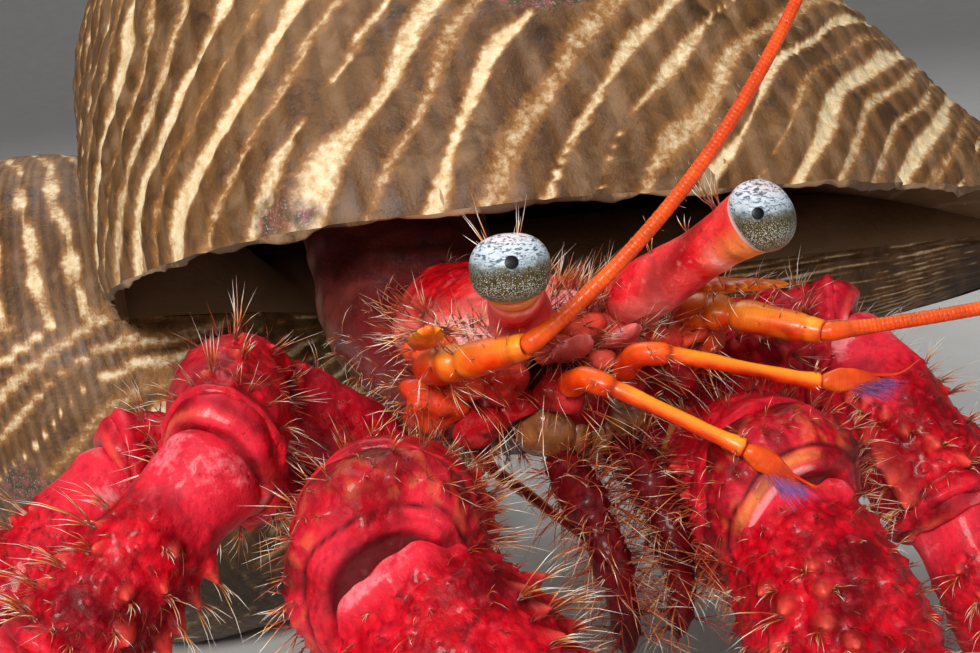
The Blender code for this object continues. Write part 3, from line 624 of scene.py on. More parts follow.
def shell_paint(name):
    """Outside of the shell: brown, with pale flames, low cords, painted shade low down, stains and a patchy
    crust.
    """
    p = Paint(name)
    middle, fine, grain = p.noise(4.0, 5, 0.62, 0.5), p.noise(0.7, 4, 0.65), p.noise(0.18, 3, 0.6)
    flame, stains_and_shade, crust, cord = (p.value(key) for key in VALUES)
    p.ramp(p.noise(22.0, 4, 0.6, 0.8), (0.30, (0.070, 0.027, 0.007)), (0.50, (0.160, 0.070, 0.020)),
           (0.68, (0.230, 0.125, 0.055)))
    p.layer((0.32, 0.19, 0.10), middle, 0.52, 0.70, 0.7)
    p.layer((0.028, 0.012, 0.005), middle, 0.46, 0.30, 0.8)
    p.layer((0.24, 0.15, 0.085), cord, 0.3, 0.9, 0.35)
    p.layer((0.035, 0.016, 0.007), cord, 0.25, 0.05, 0.35)
    broken = p.maths("ADD", flame, p.span(fine, 0.3, 0.7, -0.22, 0.14))
    p.layer((0.42, 0.18, 0.045), broken, 0.05, 0.45, 0.65)
    p.layer(p.mix(p.span(fine, 0.3, 0.7), (0.72, 0.47, 0.20), (0.90, 0.78, 0.54)), broken, 0.38, 0.80, 0.95)
    # Dark brown where the dark value is high: stains, and painted shade low down.
    p.layer((0.045, 0.026, 0.014), p.times(stains_and_shade, p.span(fine, 0.25, 0.7, 0.6, 1.2)), 0.35, 0.85)
    weed = p.mix(p.span(fine, 0.42, 0.60), (0.055, 0.052, 0.022), (0.24, 0.07, 0.065))
    weed = p.mix(p.span(grain, 0.58, 0.70), weed, (0.42, 0.38, 0.33))
    p.layer(weed, p.times(crust, p.span(middle, 0.3, 0.7, 0.6, 1.3)), 0.42, 0.62)
    return p.finish(p.span(middle, 0.3, 0.7, 0.38, 0.62), [(middle, 0.35), (fine, 0.16), (grain, 0.035)],
                    Specular_IOR_Level=0.3, Coat_Weight=0.08, Coat_Roughness=0.30)


def lining_paint(name):
    """Inside of the shell: smooth, brown, darkened with painted shade towards the deep, paler towards the
    lip, faintly banded.
    """
    p = Paint(name)
    middle = p.noise(6.0, 4, 0.6, 0.4)
    # Painted shade: darker from the lip towards the back of the mouth.
    p.ramp(p.value("along"), (0.0, (0.30, 0.18, 0.09)), (0.25, (0.15, 0.075, 0.035)),
           (1.0, (0.040, 0.018, 0.010)))
    p.layer((0.30, 0.17, 0.09), middle, 0.4, 0.7, 0.5)
    p.layer((0.50, 0.36, 0.22), p.value("pale"), 0.3, 1.0, 0.4)
    stain = p.maths("ADD", p.value("dark"), p.span(p.noise(1.2, 4, 0.65), 0.35, 0.65, -0.25, 0.25))
    p.layer((0.045, 0.022, 0.010), stain, 0.25, 0.6, 0.85)
    return p.finish(p.span(middle, 0.3, 0.7, 0.38, 0.52), [(p.noise(0.8, 4, 0.6), 0.10)],
                    Specular_IOR_Level=0.3)


RED_LIMB = red_cuticle("red_limb_cuticle", (0.15, 0.0, 0.003), (0.60, 0.001, 0.011),
                       (0.86, 0.036, 0.070), 0.32, pebbles=0.3)
RED_HEAD = red_cuticle("red_head_cuticle", (0.22, 0.001, 0.003), (0.68, 0.004, 0.010),
                       (0.98, 0.24, 0.20), 0.26, amber=(0.86, 0.12, 0.015))
# Dark red, deepened with painted shade for the shade that the mouthparts lie in under the head.
SHADED_MOUTHPART_RED = red_cuticle("mouthpart_red_painted_shade", (0.03, 0.0, 0.001), (0.10, 0.001, 0.003),
                       (0.26, 0.02, 0.018), 0.40)
ORANGE = orange_cuticle("orange_feeler")
EYESTALK = red_cuticle("eyestalk_skin", (0.36, 0.002, 0.006), (0.78, 0.005, 0.018),
                       (1.0, 0.27, 0.22), 0.30, 0.0)
SILVER = cornea_paint("silver_cornea")
TAN = plain_skin("tan_mouth_lobes", (0.12, 0.028, 0.006), (0.28, 0.090, 0.022), (0.44, 0.20, 0.07), 0.9, 0.30)
# Dusky red-brown skin, darkened further with painted shade for the shade under the shell's lip.
SOFT = plain_skin("soft_body_skin_painted_shade", (0.045, 0.004, 0.004), (0.12, 0.010, 0.008), (0.24, 0.05, 0.035), 1.6)
BRISTLE = hair_paint("bristle_amber", 0.42, 0.28, (0.0, (0.16, 0.006, 0.002)),
                     (0.32, (0.42, 0.060, 0.010)), (0.50, (0.80, 0.38, 0.11)),
                     (0.66, (0.98, 0.93, 0.82)), clumped=True)
BRUSH = hair_paint("violet_brush", 0.4, 0.32, (0.0, (0.85, 0.12, 0.02)), (0.45, (0.45, 0.07, 0.16)),
                   (1.0, (0.22, 0.17, 0.62)))
SHELL_OUTSIDE = shell_paint("ribbed_brown_shell")
SHELL_INSIDE = lining_paint("shell_lining")


# ---- head -------------------------------------------------------------------------------------
def egg_rows(reach, width, height, steps, first=0):
    """Profile of an egg of half length reach, from one pole or part way to the other pole."""
    return [(reach * (1 - cos(pi * k / steps)), width * sin(pi * k / steps) + 0.01,
             height * sin(pi * k / steps) + 0.01) for k in range(first, steps + 1)]


def shares_of(full, parts):
    """Profile rows whose places are given as shares of a length."""
    return [(share * full, *sizes) for share, *sizes in parts]


def lobe(shape, centre, half, seed, bumpy, facing=(0, -1, 0), painted_highlight=0.0, **values):
    """A rounded lump: an egg of soft irregular outline, with a painted highlight where it faces up and
    forward.
    """
    way = unit(facing)
    start = np.array(centre, float) - way * half[1]
    course = Course((start, start + way * 2 * half[1]))
    tube = Tube(course, egg_rows(half[1], half[0], half[2], 12), 0.19, 2.0, 0.3)
    tube.roughen(1.3, bumpy, seed)
    # Painted highlight: paler where the lump faces up and forward, towards the light.
    tube.tint(pale=painted_highlight * tube.facing(0.0, -0.75, 0.66) ** 3)
    tube.add_to(shape, **values)
    return tube


def eye(side, coat):
    """The stalk: a waisted post, pale at its root, with a painted highlight on its crown, small tufts, and
    the cornea on it.
    """
    base = mirrored((EYE_SPREAD, 0, 0), side)
    way = heading(*EYE_HEADING[side])
    rows = [(-0.7, 0.05, 0.05), (-0.6, 1.1, 1.1), (0.2, 1.75, 1.75), (1.2, 2.02, 2.02), (3.6, 1.92, 1.92),
            (6.6, 1.60, 1.60), (8.6, 1.62, 1.62), (10.2, 1.86, 1.86), (10.9, 2.0, 2.0),
            (11.25, 1.94, 1.94), (11.2, 1.5, 1.5), (10.8, 0.05, 0.05)]
    stalk = Tube(Course((base - way * 0.8, base + way * (EYESTALK_LENGTH + 0.6))), rows, 0.13, 2.0, 0.7)
    stalk.roughen(3.2, 0.05, 3)
    stalk.roughen(0.7, 0.015, 4)
    low = stalk.facing(-0.1, -0.1, -1.0)
    far = per_point(clamp((stalk.x - 6.8) / 3.2)) ** 1.4
    near_root = per_point(clamp(1 - np.abs(stalk.x - 2.4) / 3.2))
    cup = per_point(peak(stalk.x - 8.4, 0.55)) * clamp(low * 1.6)
    # Painted highlight on the crown: the side that faces up and forward, towards the light.
    crown = stalk.facing(-0.15, -0.90, 0.42) ** 4
    stalk.tint(dark=0.42 * per_point(peak(stalk.x - 9.5, 0.34)) * (0.2 + 0.8 * low),
               warm=0.95 * far * clamp(low * 1.6 + 0.05) * (1 - 0.6 * cup),
               pale=1.1 * cup + 0.15 * clamp(0.5 + stalk.waves(1.4, 5)))
    stalk.tint(pale=0.75 * near_root * clamp(low * 1.6 - 0.1) + 0.85 * crown * (0.30 + 0.70 * near_root))
    top = stalk.toward(np.array((0.0, 0.3, 1.0)), stalk.rows // 2)
    for x, turn, count in ((9.7, -0.07, 7), (9.1, 0.05, 6), (6.6, 0.02, 3), (4.4, -0.1, 3), (8.2, 0.14, 3)):
        coat.on(stalk, stalk.row_at(x), (top + int(turn * stalk.columns)) % stalk.columns, count,
                1.9 if x > 8.5 else 0.9, spread=0.22, thick=0.045, curl=0.25)
    stalk.make(f"eyestalk_surface_{side}", EYESTALK, "carapace_red", [f"eyestalk_{side}"])
    cornea(side, base, way)


def cornea(side, base, way):
    """A dome slightly flattened along the stalk, its colours set by height and by the pupil spot."""
    deep, half = CORNEA_RADIUS * 0.84, CORNEA_RADIUS * 1.06
    edge = CORNEA_CENTRE + deep * cos(CORNEA_EDGE)
    rows = [(edge + 0.2, 0.03, 0.03)]
    for k in range(33):
        angle = CORNEA_EDGE * (1 - k / 32)
        rows.append((CORNEA_CENTRE + deep * cos(angle), half * sin(angle) + 0.01,
                     CORNEA_TALL[side] * half * sin(angle) + 0.01))
    dome = Tube(Course((base, base + way * 14)), rows, 0.075, CORNEA_SQUARE[side], 0.12)
    out = unit(dome.base - (base + way * CORNEA_CENTRE))

    def away(az, el):
        """Degrees between each point and a direction, seen from the dome's centre."""
        return np.degrees(np.arccos(np.clip(out @ heading(az, el), -1, 1)))

    az, el = PUPIL[side]
    dark = clamp((PUPIL_SIZE[side] - away(az, el)) / 3.5)
    for turn, lift, size, strength in LESSER_SPOTS:
        dark = np.maximum(dark, strength * clamp((size - away(az + turn, el + lift)) / 4))
    dome.tint(dark=dark, along=clamp(0.5 + 0.5 * out[..., 2]), warm=clamp((edge + 0.62 - dome.x) / 0.45))
    dome.make(f"cornea_dome_{side}", SILVER, "cornea", [f"cornea_{side}"])


def spiny_blade(name, knots, rows, teeth, material, slot, node, coat, seed, tooth=0.42, pale=0.0):
    """A flat pointed scale with teeth along both edges and bristles between them."""
    course = Course(knots)
    blade = Tube(course, rows, 0.09, 2.0, 0.5)
    blade.roughen(0.8, 0.04, seed)
    for k in range(teeth):
        row = blade.row_at(course.length * (0.25 + 0.7 * k / teeth))
        for direction in (blade.across[row], -blade.across[row]):
            column = blade.toward(direction, row)
            blade.bump(row, column, 0.34, tooth, lean=1.3, power=1.1, pale=0.9)
            coat.on(blade, row, column, 3, 1.6, spread=0.4, thick=0.034)
    blade.tint(pale=pale + 0.5 * clamp(blade.x / course.length))
    blade.make(name, material, slot, [node])


def ringed(tube, start, end, pitch, depth, dark=0.5):
    """Rings a stretch of a feeler with narrow grooves, darker in the groove."""
    groove = peak(((tube.x - start) / pitch) % 1.0 - 0.5, 0.16) * ((tube.x > start) & (tube.x < end))
    tube.swell(-depth * groove)
    tube.tint(dark=dark * groove)


def antenna(side, coat):
    """Thick base, ringed whip and toothed scale of the outer feeler."""
    plan = ANTENNA[side]
    course = Course(plan["knots"])
    full = course.length
    rows = [(-0.9, 0.05, 0.05), (-0.8, 0.8, 0.7), (0.0, 1.2, 1.05), (0.9, 1.38, 1.2)]
    rows += shares_of(full, ((0.26, 1.30, 1.13), (0.34, 1.07, 0.96), (0.40, 1.07, 0.96), (0.48, 1.19, 1.06),
                             (0.75, 1.06, 0.96), (0.93, 0.92, 0.86)))
    rows += [(full + 0.25, 0.76, 0.72), (full + 0.2, 0.62, 0.60), (full - 0.4, 0.05, 0.05)]
    stem = Tube(course, rows, 0.11, 2.1, 0.5)
    stem.roughen(1.6, 0.05, 11)
    for share, deep, yellow in ((0.20, 0.10, 0.25), (0.37, 0.16, 0.35), (0.90, 0.05, 0.35)):
        joint = peak(stem.x - share * full, 0.20)
        stem.swell(-deep * joint)
        stem.tint(dark=0.30 * joint, pale=yellow * peak(stem.x - share * full - 0.5, 0.45))
    ringed(stem, 0.45 * full, 0.88 * full, 0.24, 0.010, 0.16)
    turn = np.arange(stem.columns) * 2 * pi / stem.columns
    stripes = clamp(np.sin(15 * turn)[None, :] + 0.8 * stem.waves(1.2, 12))
    stem.tint(dark=0.08 * stripes * per_point(clamp((stem.x / full - 0.4) / 0.1)))
    stem.tint(dark=0.20 * clamp(stem.waves(2.0, 13)), pale=0.35 * clamp(stem.waves(1.5, 14)),
              warm=0.5 * clamp(1 - stem.x / 1.6))
    # Painted highlight along the side that faces up and forward.
    stem.tint(pale=0.62 * stem.facing(*unit((-0.3, -0.5, 1.0))) ** 3)
    rng = np.random.default_rng(21)
    for row, column in stem.scatter(rng, 26, 0.7, 0.1, 0.97 * full):
        count, size = (3, 1.5) if stem.x[row] < 2.5 else (1, 0.7)
        coat.on(stem, row, column, count, size, spread=0.35, thick=0.032, tone=1.1)
    stem.make(f"antenna_base_{side}", ORANGE, "feeler_orange", [f"antenna_{side}_peduncle"])
    whip_of(side, plan, course, rng, coat)
    scale = Course(plan["acicle"]).length / 4.2
    rows = shares_of(scale, ((-0.3, 0.05, 0.05), (-0.2, 0.6, 0.35), (0.4, 0.82, 0.46), (1.4, 0.92, 0.48),
                             (2.7, 0.70, 0.38), (3.7, 0.42, 0.30), (4.2, 0.20, 0.16), (4.4, 0.03, 0.03)))
    spiny_blade(f"antennal_scale_blade_{side}", plan["acicle"], rows, 6, ORANGE, "feeler_orange",
                f"antennal_scale_{side}", coat, 31)


def whip_of(side, plan, stem_course, rng, coat):
    """The long ringed whip, whose heading turns steadily from its start to its finish."""
    start = np.array(plan["knots"][2]) + unit(stem_course.points[-1] - stem_course.points[-2]) * 0.15
    count = 90
    t = ((np.arange(1, count) - 0.5) / (count - 1)) ** plan["bend"]
    turned = np.outer(1 - t, plan["start"]) + np.outer(t, plan["finish"])
    steps = np.array([heading(az, el) for az, el in turned]) * (FLAGELLUM_LENGTH + 0.7) / (count - 1)
    rows = [(-0.3, 0.05, 0.05), (-0.25, 0.45, 0.45), (0.4, 0.64, 0.64), (1.6, 0.54, 0.54),
            (3.6, FLAGELLUM_BASE, FLAGELLUM_BASE),
            (FLAGELLUM_LENGTH, FLAGELLUM_TIP, FLAGELLUM_TIP), (FLAGELLUM_LENGTH + 0.3, 0.05, 0.05)]
    whip = Tube(Course(np.vstack((start, start + np.cumsum(steps, axis=0)))), rows, 0.13, 2.0, 0.3)
    whip.swell(-0.008 * np.sin(pi * whip.x / ANNULUS))
    banding = per_point(np.sin(whip.x / 6.5 + 1.0) * 0.5 + 0.5)
    # Pale bands, stronger on the upper side as a painted highlight.
    whip.tint(along=np.clip(whip.x - 2.0, 0, None), dark=0.30 * clamp((whip.x - 3.0) / 30.0),
              pale=0.10 + 0.16 * banding * clamp(whip.normals[..., 2]))
    whip.make(f"antenna_whip_{side}", ORANGE, "feeler_orange", [f"antenna_{side}_flagellum"])
    for k in range(120):
        x = 3.0 + (FLAGELLUM_LENGTH - 6) * k / 120
        coat.on(whip, whip.row_at(x), int(rng.integers(whip.columns)), 1, 0.42, spread=0.15, thick=0.018)


def antennule(side, coat):
    """Elbowed stalk of the small inner feeler, with its brush of smelling hairs and two threads."""
    root, elbow, wrist, tip = (np.array(p, float) for p in ANTENNULE[side])
    course = Course((root, elbow, wrist))
    full = course.length
    bend = course.at[len(course.at) // 2]
    rows = [(-0.5, 0.05, 0.05), (-0.4, 0.5, 0.5), (0.3, 0.85, 0.80)]
    rows += shares_of(bend, ((0.55, 0.78, 0.76), (0.9, 0.76, 0.73), (1.12, 0.72, 0.68), (1.2, 0.50, 0.48),
                             (1.32, 0.54, 0.52), (1.55, 0.53, 0.50)))
    rows += [(0.7 * full, 0.42, 0.42), (0.9 * full, 0.45, 0.45), (full - 0.3, 0.62, 0.60),
             (full + 0.05, 0.64, 0.60), (full + 0.1, 0.42, 0.42), (full - 0.5, 0.05, 0.05)]
    stem = Tube(course, rows, 0.11, 2.0, 0.35)
    stem.roughen(1.2, 0.025, 41)
    # Painted highlight: paler on the side that faces up, more so past the elbow.
    upper = stem.facing(*unit((-0.2, -0.5, 1.0)))
    stem.tint(pale=upper ** 2 * per_point(np.clip((stem.x - bend) / 2, 0.25, 1)),
              dark=0.8 * peak(stem.x - bend * 1.2, 0.16))
    rng = np.random.default_rng(43)
    for x, count, size in ((bend * 0.75, 6, 1.3), (bend * 0.9, 5, 1.2), (bend * 1.1, 4, 0.9),
                           (bend * 1.9, 2, 0.5), (0.75 * full, 2, 0.45), (full - 0.3, 4, 0.6)):
        for _ in range(2):
            column = int(rng.integers(stem.columns))
            coat.on(stem, stem.row_at(x), column, count, size, spread=0.3, thick=0.028)
    stem.make(f"antennule_stem_{side}", ORANGE, "feeler_orange", [f"antennule_{side}_peduncle"])
    way = unit(tip - wrist)
    reach = np.linalg.norm(tip - wrist)
    shape = Shape()
    rows = [(0.1, 0.05, 0.05), (0.15, 0.4, 0.36), (0.5, 0.50, 0.55)]
    rows += shares_of(reach, ((0.35, 0.42, 0.78), (0.6, 0.32, 0.66), (0.85, 0.18, 0.34), (1.0, 0.10, 0.12)))
    rows += [(reach + 0.02, 0.02, 0.02)]
    main = Tube(Course((wrist, tip)), rows, 0.07, 2.0, 0.3)
    ringed(main, 0.4, reach, 0.17, 0.012, 0.3)
    main.tint(pale=0.2 * clamp(1 - main.x / reach))
    main.add_to(shape)
    thread = Course([wrist + way * x + beside for x, beside in (
        (0.0, (0, 0, 0.15)), (reach * 0.7, (0, 0, 0.2)), (reach + 0.9, (0.2, -0.2, 0.1)),
        (reach + 2.2, (0.5, 0, 0.8)))])
    rows = [(0, 0.02, 0.02), (0.1, 0.2, 0.2), (reach, 0.11, 0.11), (thread.length, 0.03, 0.03),
            (thread.length + 0.01, 0.01, 0.01)]
    Tube(thread, rows, 0.07, 2.0, 0.2).add_to(shape)
    shape.make(f"antennule_flagella_{side}", ORANGE, "feeler_orange", [f"antennule_{side}_flagella"])
    brush = Coat(f"antennule_brush_{side}", 1, 47)
    down = unit(np.cross(way, (0, 0, 1)))
    down = unit(np.cross(way, down)) * (-1 if np.cross(way, down)[2] > 0 else 1)
    for k in range(52):
        share = 0.40 + 0.60 * k / 52
        for turn in (-0.5, -0.15, 0.2, 0.55):
            out = unit(0.55 * down + 0.5 * turn * np.cross(way, down) + way * 0.8)
            spot = wrist + way * reach * share + down * 0.40 * (1.1 - share)
            brush.tuft(spot, out, way, 2, 1.15 * (1.25 - 0.7 * share), (share, 0.5 + turn / 2),
                       0.07, 0.022, 0.8)
    brush.make(BRUSH, "feeler_orange")


def maxilliped(side, coat):
    """The outer jaw leg, dark red deepened with painted shade, its hairy edge, and the slim rod that lies
    beside it.
    """
    knots = [mirrored(p, side) for p in ((2.1, 0.4, -9.2), (2.3, -4.0, -12.0), (2.1, -6.0, -16.4),
                                         (1.8, -5.6, -20.4))]
    course = Course(knots, (0, 1, 0))
    full = course.length
    rows = [(-0.8, 0.04, 0.04)]
    rows += shares_of(full, ((0.0, 1.0, 1.2), (0.1, 1.3, 1.6), (0.32, 1.28, 1.5), (0.37, 0.92, 1.0),
                             (0.42, 1.1, 1.15), (0.62, 1.18, 1.25), (0.67, 0.78, 0.85), (0.72, 0.92, 1.0),
                             (0.86, 0.82, 0.9), (0.96, 0.5, 0.55), (1.0, 0.04, 0.04)))
    leg = Tube(course, rows, 0.16, 2.2, 0.5)
    leg.roughen(1.5, 0.06, 51)
    rng = np.random.default_rng(53)
    for row, column in leg.scatter(rng, 110, 0.55, 0.5, full):
        leg.bump(row, column, 0.35, 0.12, pale=0.2)
        coat.on(leg, row, column, 4, 2.3, spread=0.40, thick=0.036, lie=(0, -0.3, -0.9),
                tone=rng.choice((0.45, 0.7, 1.0)))
    leg.make(f"maxilliped_leg_{side}", SHADED_MOUTHPART_RED, "mouthpart_red", [f"maxilliped_{side}"])
    knots = [mirrored(p, side) for p in ((6.6, 2.2, -6.6), (6.9, 0.6, -8.4), (4.6, -0.8, -11.0),
                                         (2.2, -2.8, -13.8), (1.2, -3.6, -15.0))]
    rod = Course(knots)
    rows = [(0, 0.05, 0.05), (0.1, 0.6, 0.5), (1.2, 0.66, 0.5), (2.6, 0.5, 0.42),
            (rod.length * 0.6, 0.36, 0.30), (rod.length, 0.14, 0.12), (rod.length + 0.05, 0.02, 0.02)]
    stick = Tube(rod, rows, 0.12, 2.0, 0.4)
    ringed(stick, rod.length * 0.6, rod.length, 0.4, 0.03)
    edge = np.abs(stick.normals @ unit(np.cross(knots[2] - knots[1], (0, 1, 0))))
    stick.tint(warm=0.7 * clamp(edge * 1.6 - 0.9))
    stick.make(f"maxilliped_rod_{side}", SHADED_MOUTHPART_RED, "mouthpart_red")
    for k in range(16):
        coat.on(stick, stick.row_at(1.0 + k * 0.6), int(rng.integers(stick.columns)), 2, 1.0, thick=0.025)


# centre, half sizes, and how pale, which also sets the strength of the painted highlight: from between the
# eyes down to the sides of the mouth
FACE_LUMPS = (
    ((0.0, 0.6, -1.4), (2.0, 1.6, 1.3), 0.75), ((-2.2, -0.8, -1.9), (1.0, 1.3, 0.8), 1.1),
    ((2.2, -0.8, -1.9), (1.0, 1.3, 0.8), 1.0), ((0.2, -1.7, -2.6), (1.0, 1.1, 0.8), 1.0),
    ((-5.6, 0.8, -3.4), (1.9, 1.8, 1.2), 0.45), ((5.6, 0.8, -3.4), (1.9, 1.8, 1.2), 0.45),
    ((-7.9, 0.9, -3.2), (1.4, 1.6, 1.0), 0.5), ((8.0, 1.2, -3.2), (1.4, 1.6, 1.0), 0.5),
    ((-9.6, 2.1, -4.2), (1.8, 2.0, 1.7), 0.3), ((9.6, 2.4, -4.2), (1.8, 2.0, 1.7), 0.3),
    ((-6.9, 1.0, -6.0), (1.7, 1.7, 1.4), 0.15), ((6.9, 1.0, -6.0), (1.7, 1.7, 1.4), 0.15),
    ((-4.4, 0.7, -5.4), (1.3, 1.4, 1.0), 0.3), ((4.2, 0.7, -5.4), (1.3, 1.4, 1.0), 0.3),
    ((-2.6, -1.2, -4.6), (1.3, 1.5, 1.1), 0.6), ((2.2, -1.2, -4.6), (1.3, 1.5, 1.1), 0.6),
    ((0.0, 0.4, -6.0), (1.7, 1.8, 1.8), 0.3), ((-9.6, 1.0, -0.9), (1.4, 1.8, 1.0), 0.8),
    ((9.6, 1.2, -1.2), (1.3, 1.8, 1.0), 0.7))
MOUTH_LOBES = (((2.7, 0.5, -7.2), (1.9, 1.7, 1.9)), ((0.9, 0.7, -8.2), (1.0, 1.5, 1.9)))


def face(coat):
    """Lumps between and below the eyes: base segments of the feelers, lip plate and mouth lobes."""
    rng = np.random.default_rng(61)
    red, tan = Shape(), Shape()
    for k, (centre, half, pale) in enumerate(FACE_LUMPS):
        near_feeler = clamp((abs(centre[0]) - 4.0) / 4.0) * (centre[2] > -5.0)
        # Painted shade on the lower lumps: darker, with less paleness and a weaker painted highlight.
        shade = float(np.clip(-0.13 * (centre[2] + 3.0), 0, 0.45))
        tube = lobe(red, centre, half, 70 + k, 0.30, painted_highlight=1.05 * pale * (1 - shade),
                    pale=0.40 * pale * (1 - shade) - 0.1, dark=shade,
                    warm=0.45 * near_feeler + 0.30 * (pale > 0.7))
        tufts, size = 13 if pale > 0.7 else 7, 2.3 if pale > 0.5 else 2.9
        for row, column in tube.scatter(rng, tufts, 0.6, half[1] * 0.6, 2 * half[1] - 0.1):
            if tube.normals[row, column][1] <= 0.2:
                coat.on(tube, row, column, 2, size * rng.uniform(0.6, 1.2), spread=0.40, thick=0.042,
                        lie=(0, -0.3, -0.6), tone=rng.choice((0.6, 0.8, 1.05)))
    red.make("face_segments", RED_HEAD, "carapace_red")
    for side in SIDES:
        for k, (centre, half) in enumerate(MOUTH_LOBES):
            lobe(tan, mirrored(centre, side), half, 90 + k, 0.16, facing=(0, -0.7, -0.7), pale=0.15)
    tan.make("mouth_lobes", TAN, "mouthpart_red")


def shield(coat):
    """The hard front plate of the back: arched, pitted, pale and tufted along its front and sides."""
    count_x, count_y = 116, 136
    s = np.linspace(-1, 1, count_x)[None, :]
    t = np.linspace(0, 1, count_y)[:, None]
    half = 0.5 * SHIELD_WIDTH * (0.80 + 0.55 * t - 0.85 * t ** 2) * (1 - 0.10 * peak(t - 0.16, 0.05))
    front = SHIELD_FRONT - 0.8 * peak(s, 0.16) - 0.7 * peak(np.abs(s) - 0.62, 0.10)
    groove = np.abs(t - (0.72 - 0.30 * s ** 2))
    z = 1.05 * (1 - (2 * t - 1) ** 2 * 0.6) - 3.0 * s ** 2 - 0.9 * np.abs(s) ** 9
    z -= 0.55 * peak(s, 0.055) * clamp(t * 6) * clamp(5 * (0.6 - t)) * 0.4
    z -= 0.45 * peak(groove, 0.018)
    z -= 0.30 * peak(np.abs(s) - 0.55 - 0.25 * t, 0.035) * (t > 0.2)
    z -= 0.45 * peak(t, 0.035)
    top = np.stack((half * s + 0 * t, front * (1 - t) + (SHIELD_FRONT + SHIELD_LENGTH) * t, z), axis=-1)
    top[..., 2] += (0.16 * waves(top, 2.2, 101) + 0.07 * waves(top, 0.8, 102)) * np.clip(1.2 - t, 0.3, 1)
    near_edge = clamp(1.15 - t / 0.40) + clamp((np.abs(s) - 0.55) / 0.3) * clamp(1.2 - t)
    pale = 1.12 * clamp(near_edge * (0.75 + 0.35 * waves(top, 2.4, 104)))
    dark = 0.35 * peak(groove, 0.02)
    rings = np.concatenate((top, top[:, ::-1] * (0.97, 1, 1) + (0, 0, -1.7)), axis=1)
    shape = Shape()
    faces = [grid_faces(count_y, 2 * count_x)[:, ::-1]] + [c[:, ::-1] for c in end_caps(count_y, 2 * count_x)]
    shape.add(rings, faces, **{key: np.concatenate((grid, grid[:, ::-1]), axis=1)
                               for key, grid in (("pale", pale), ("dark", dark))})
    shape.make("shield_plate", RED_HEAD, "carapace_red", ["carapace_shield"])
    normal = unit(np.cross(np.gradient(top, axis=1), np.gradient(top, axis=0)))
    rng = np.random.default_rng(103)
    for _ in range(250):
        i, j = int(count_y * rng.random() ** 2.2), int(rng.integers(count_x))
        edge = abs(s[0, j])
        if t[i, 0] > 0.25 and edge < 0.72:
            continue
        out = np.array((np.sign(s[0, j]) * edge ** 3, -1.0 + t[i, 0], 0.2))
        coat.tuft(top[i, j], unit(normal[i, j] + 0.4 * out), unit(out + (0, 0, 0.3)), 4,
                  rng.uniform(1.0, 2.3), (i / count_y, j / count_x), 0.38, 0.042, 0.3,
                  tone=rng.choice((0.55, 0.8, 1.05)))


def body_skin(coat):
    """One skin from the head's underside over the soft rear carapace to the coiled abdomen."""
    course = Course(((0, 1.0, -5.6), (0, 12.0, -6.8), (0, 21.6, -6.2), (0.5, 28.5, -3.0), (2.5, 35.0, 4.0),
                     (7.0, 43.0, 13.0), (14.0, 56.0, 20.5), (18.0, 71.0, 18.5)))
    full = course.length
    rows = [(-0.1, 0.05, 0.05), (0.0, 4.6, 1.9), (1.2, 6.6, 3.3), (4.5, 7.3, 4.1), (12.0, 7.2, 4.3),
            (18.5, 6.6, 4.2), (21.0, 6.9, 5.0), (28.0, 7.3, 6.2), (36.0, 7.2, 6.6), (44.0, 8.2, 7.8),
            (58.0, 7.4, 7.0), (70.0, 5.2, 5.0), (full - 0.6, 2.4, 2.4), (full, 0.05, 0.05)]
    skin = Tube(course, rows, 0.48, 2.2, 2.2)
    folds = np.sin(skin.x / 0.55 + 1.6 * waves(skin.base[:, 0], 5.0, 111)) * clamp((skin.x - 24) / 8)
    skin.swell(0.16 * per_point(folds) * (0.6 + 0.4 * skin.waves(4.0, 112)))
    skin.roughen(3.5, 0.22, 113)
    skin.roughen(1.1, 0.06, 114)
    skin.tint(warm=per_point(clamp((24.0 - skin.x) / 5.0)) * (0.8 + 0.2 * skin.waves(2.0, 115)),
              pale=clamp(0.3 * skin.waves(3.0, 116)))
    rng = np.random.default_rng(117)
    for row, column in skin.scatter(rng, 260, 0.8, 0.2, 24.0):
        coat.on(skin, row, column, 4, rng.uniform(0.9, 2.0), spread=0.5, thick=0.03, lie=(0, -0.6, -0.5))
    skin.make("body_skin", SOFT, "soft_body", ["cephalothorax", "carapace_rear", "abdomen"])


def head():
    """Everything in front of the limbs, and the soft body behind it, in two coats."""
    coat = Coat("bristles_head", 1, 121)
    rows = [(-0.3, 0.05, 0.05), (-0.2, 1.0, 0.4), (0.8, 1.36, 0.55), (1.8, 1.2, 0.5), (2.6, 0.6, 0.35),
            (3.1, 0.15, 0.15), (3.2, 0.03, 0.03)]
    for side in SIDES:
        eye(side, coat)
        antenna(side, coat)
        antennule(side, coat)
        root = mirrored((1.6, -1.0, -2.4), side)
        tip = root + heading(SIDES[side] * 8, 34) * 3.0
        spiny_blade(f"ocular_scale_blade_{side}", (root, tip), rows, 4, RED_HEAD, "carapace_red",
                    f"ocular_scale_{side}", coat, 131, 0.16, 0.35)
    face(coat)
    shield(coat)
    coat.make(BRISTLE, "limb_red")
    coat = Coat("bristles_mouth", 1, 122)
    for side in SIDES:
        maxilliped(side, coat)
    body_skin(coat)
    coat.make(BRISTLE, "limb_red")


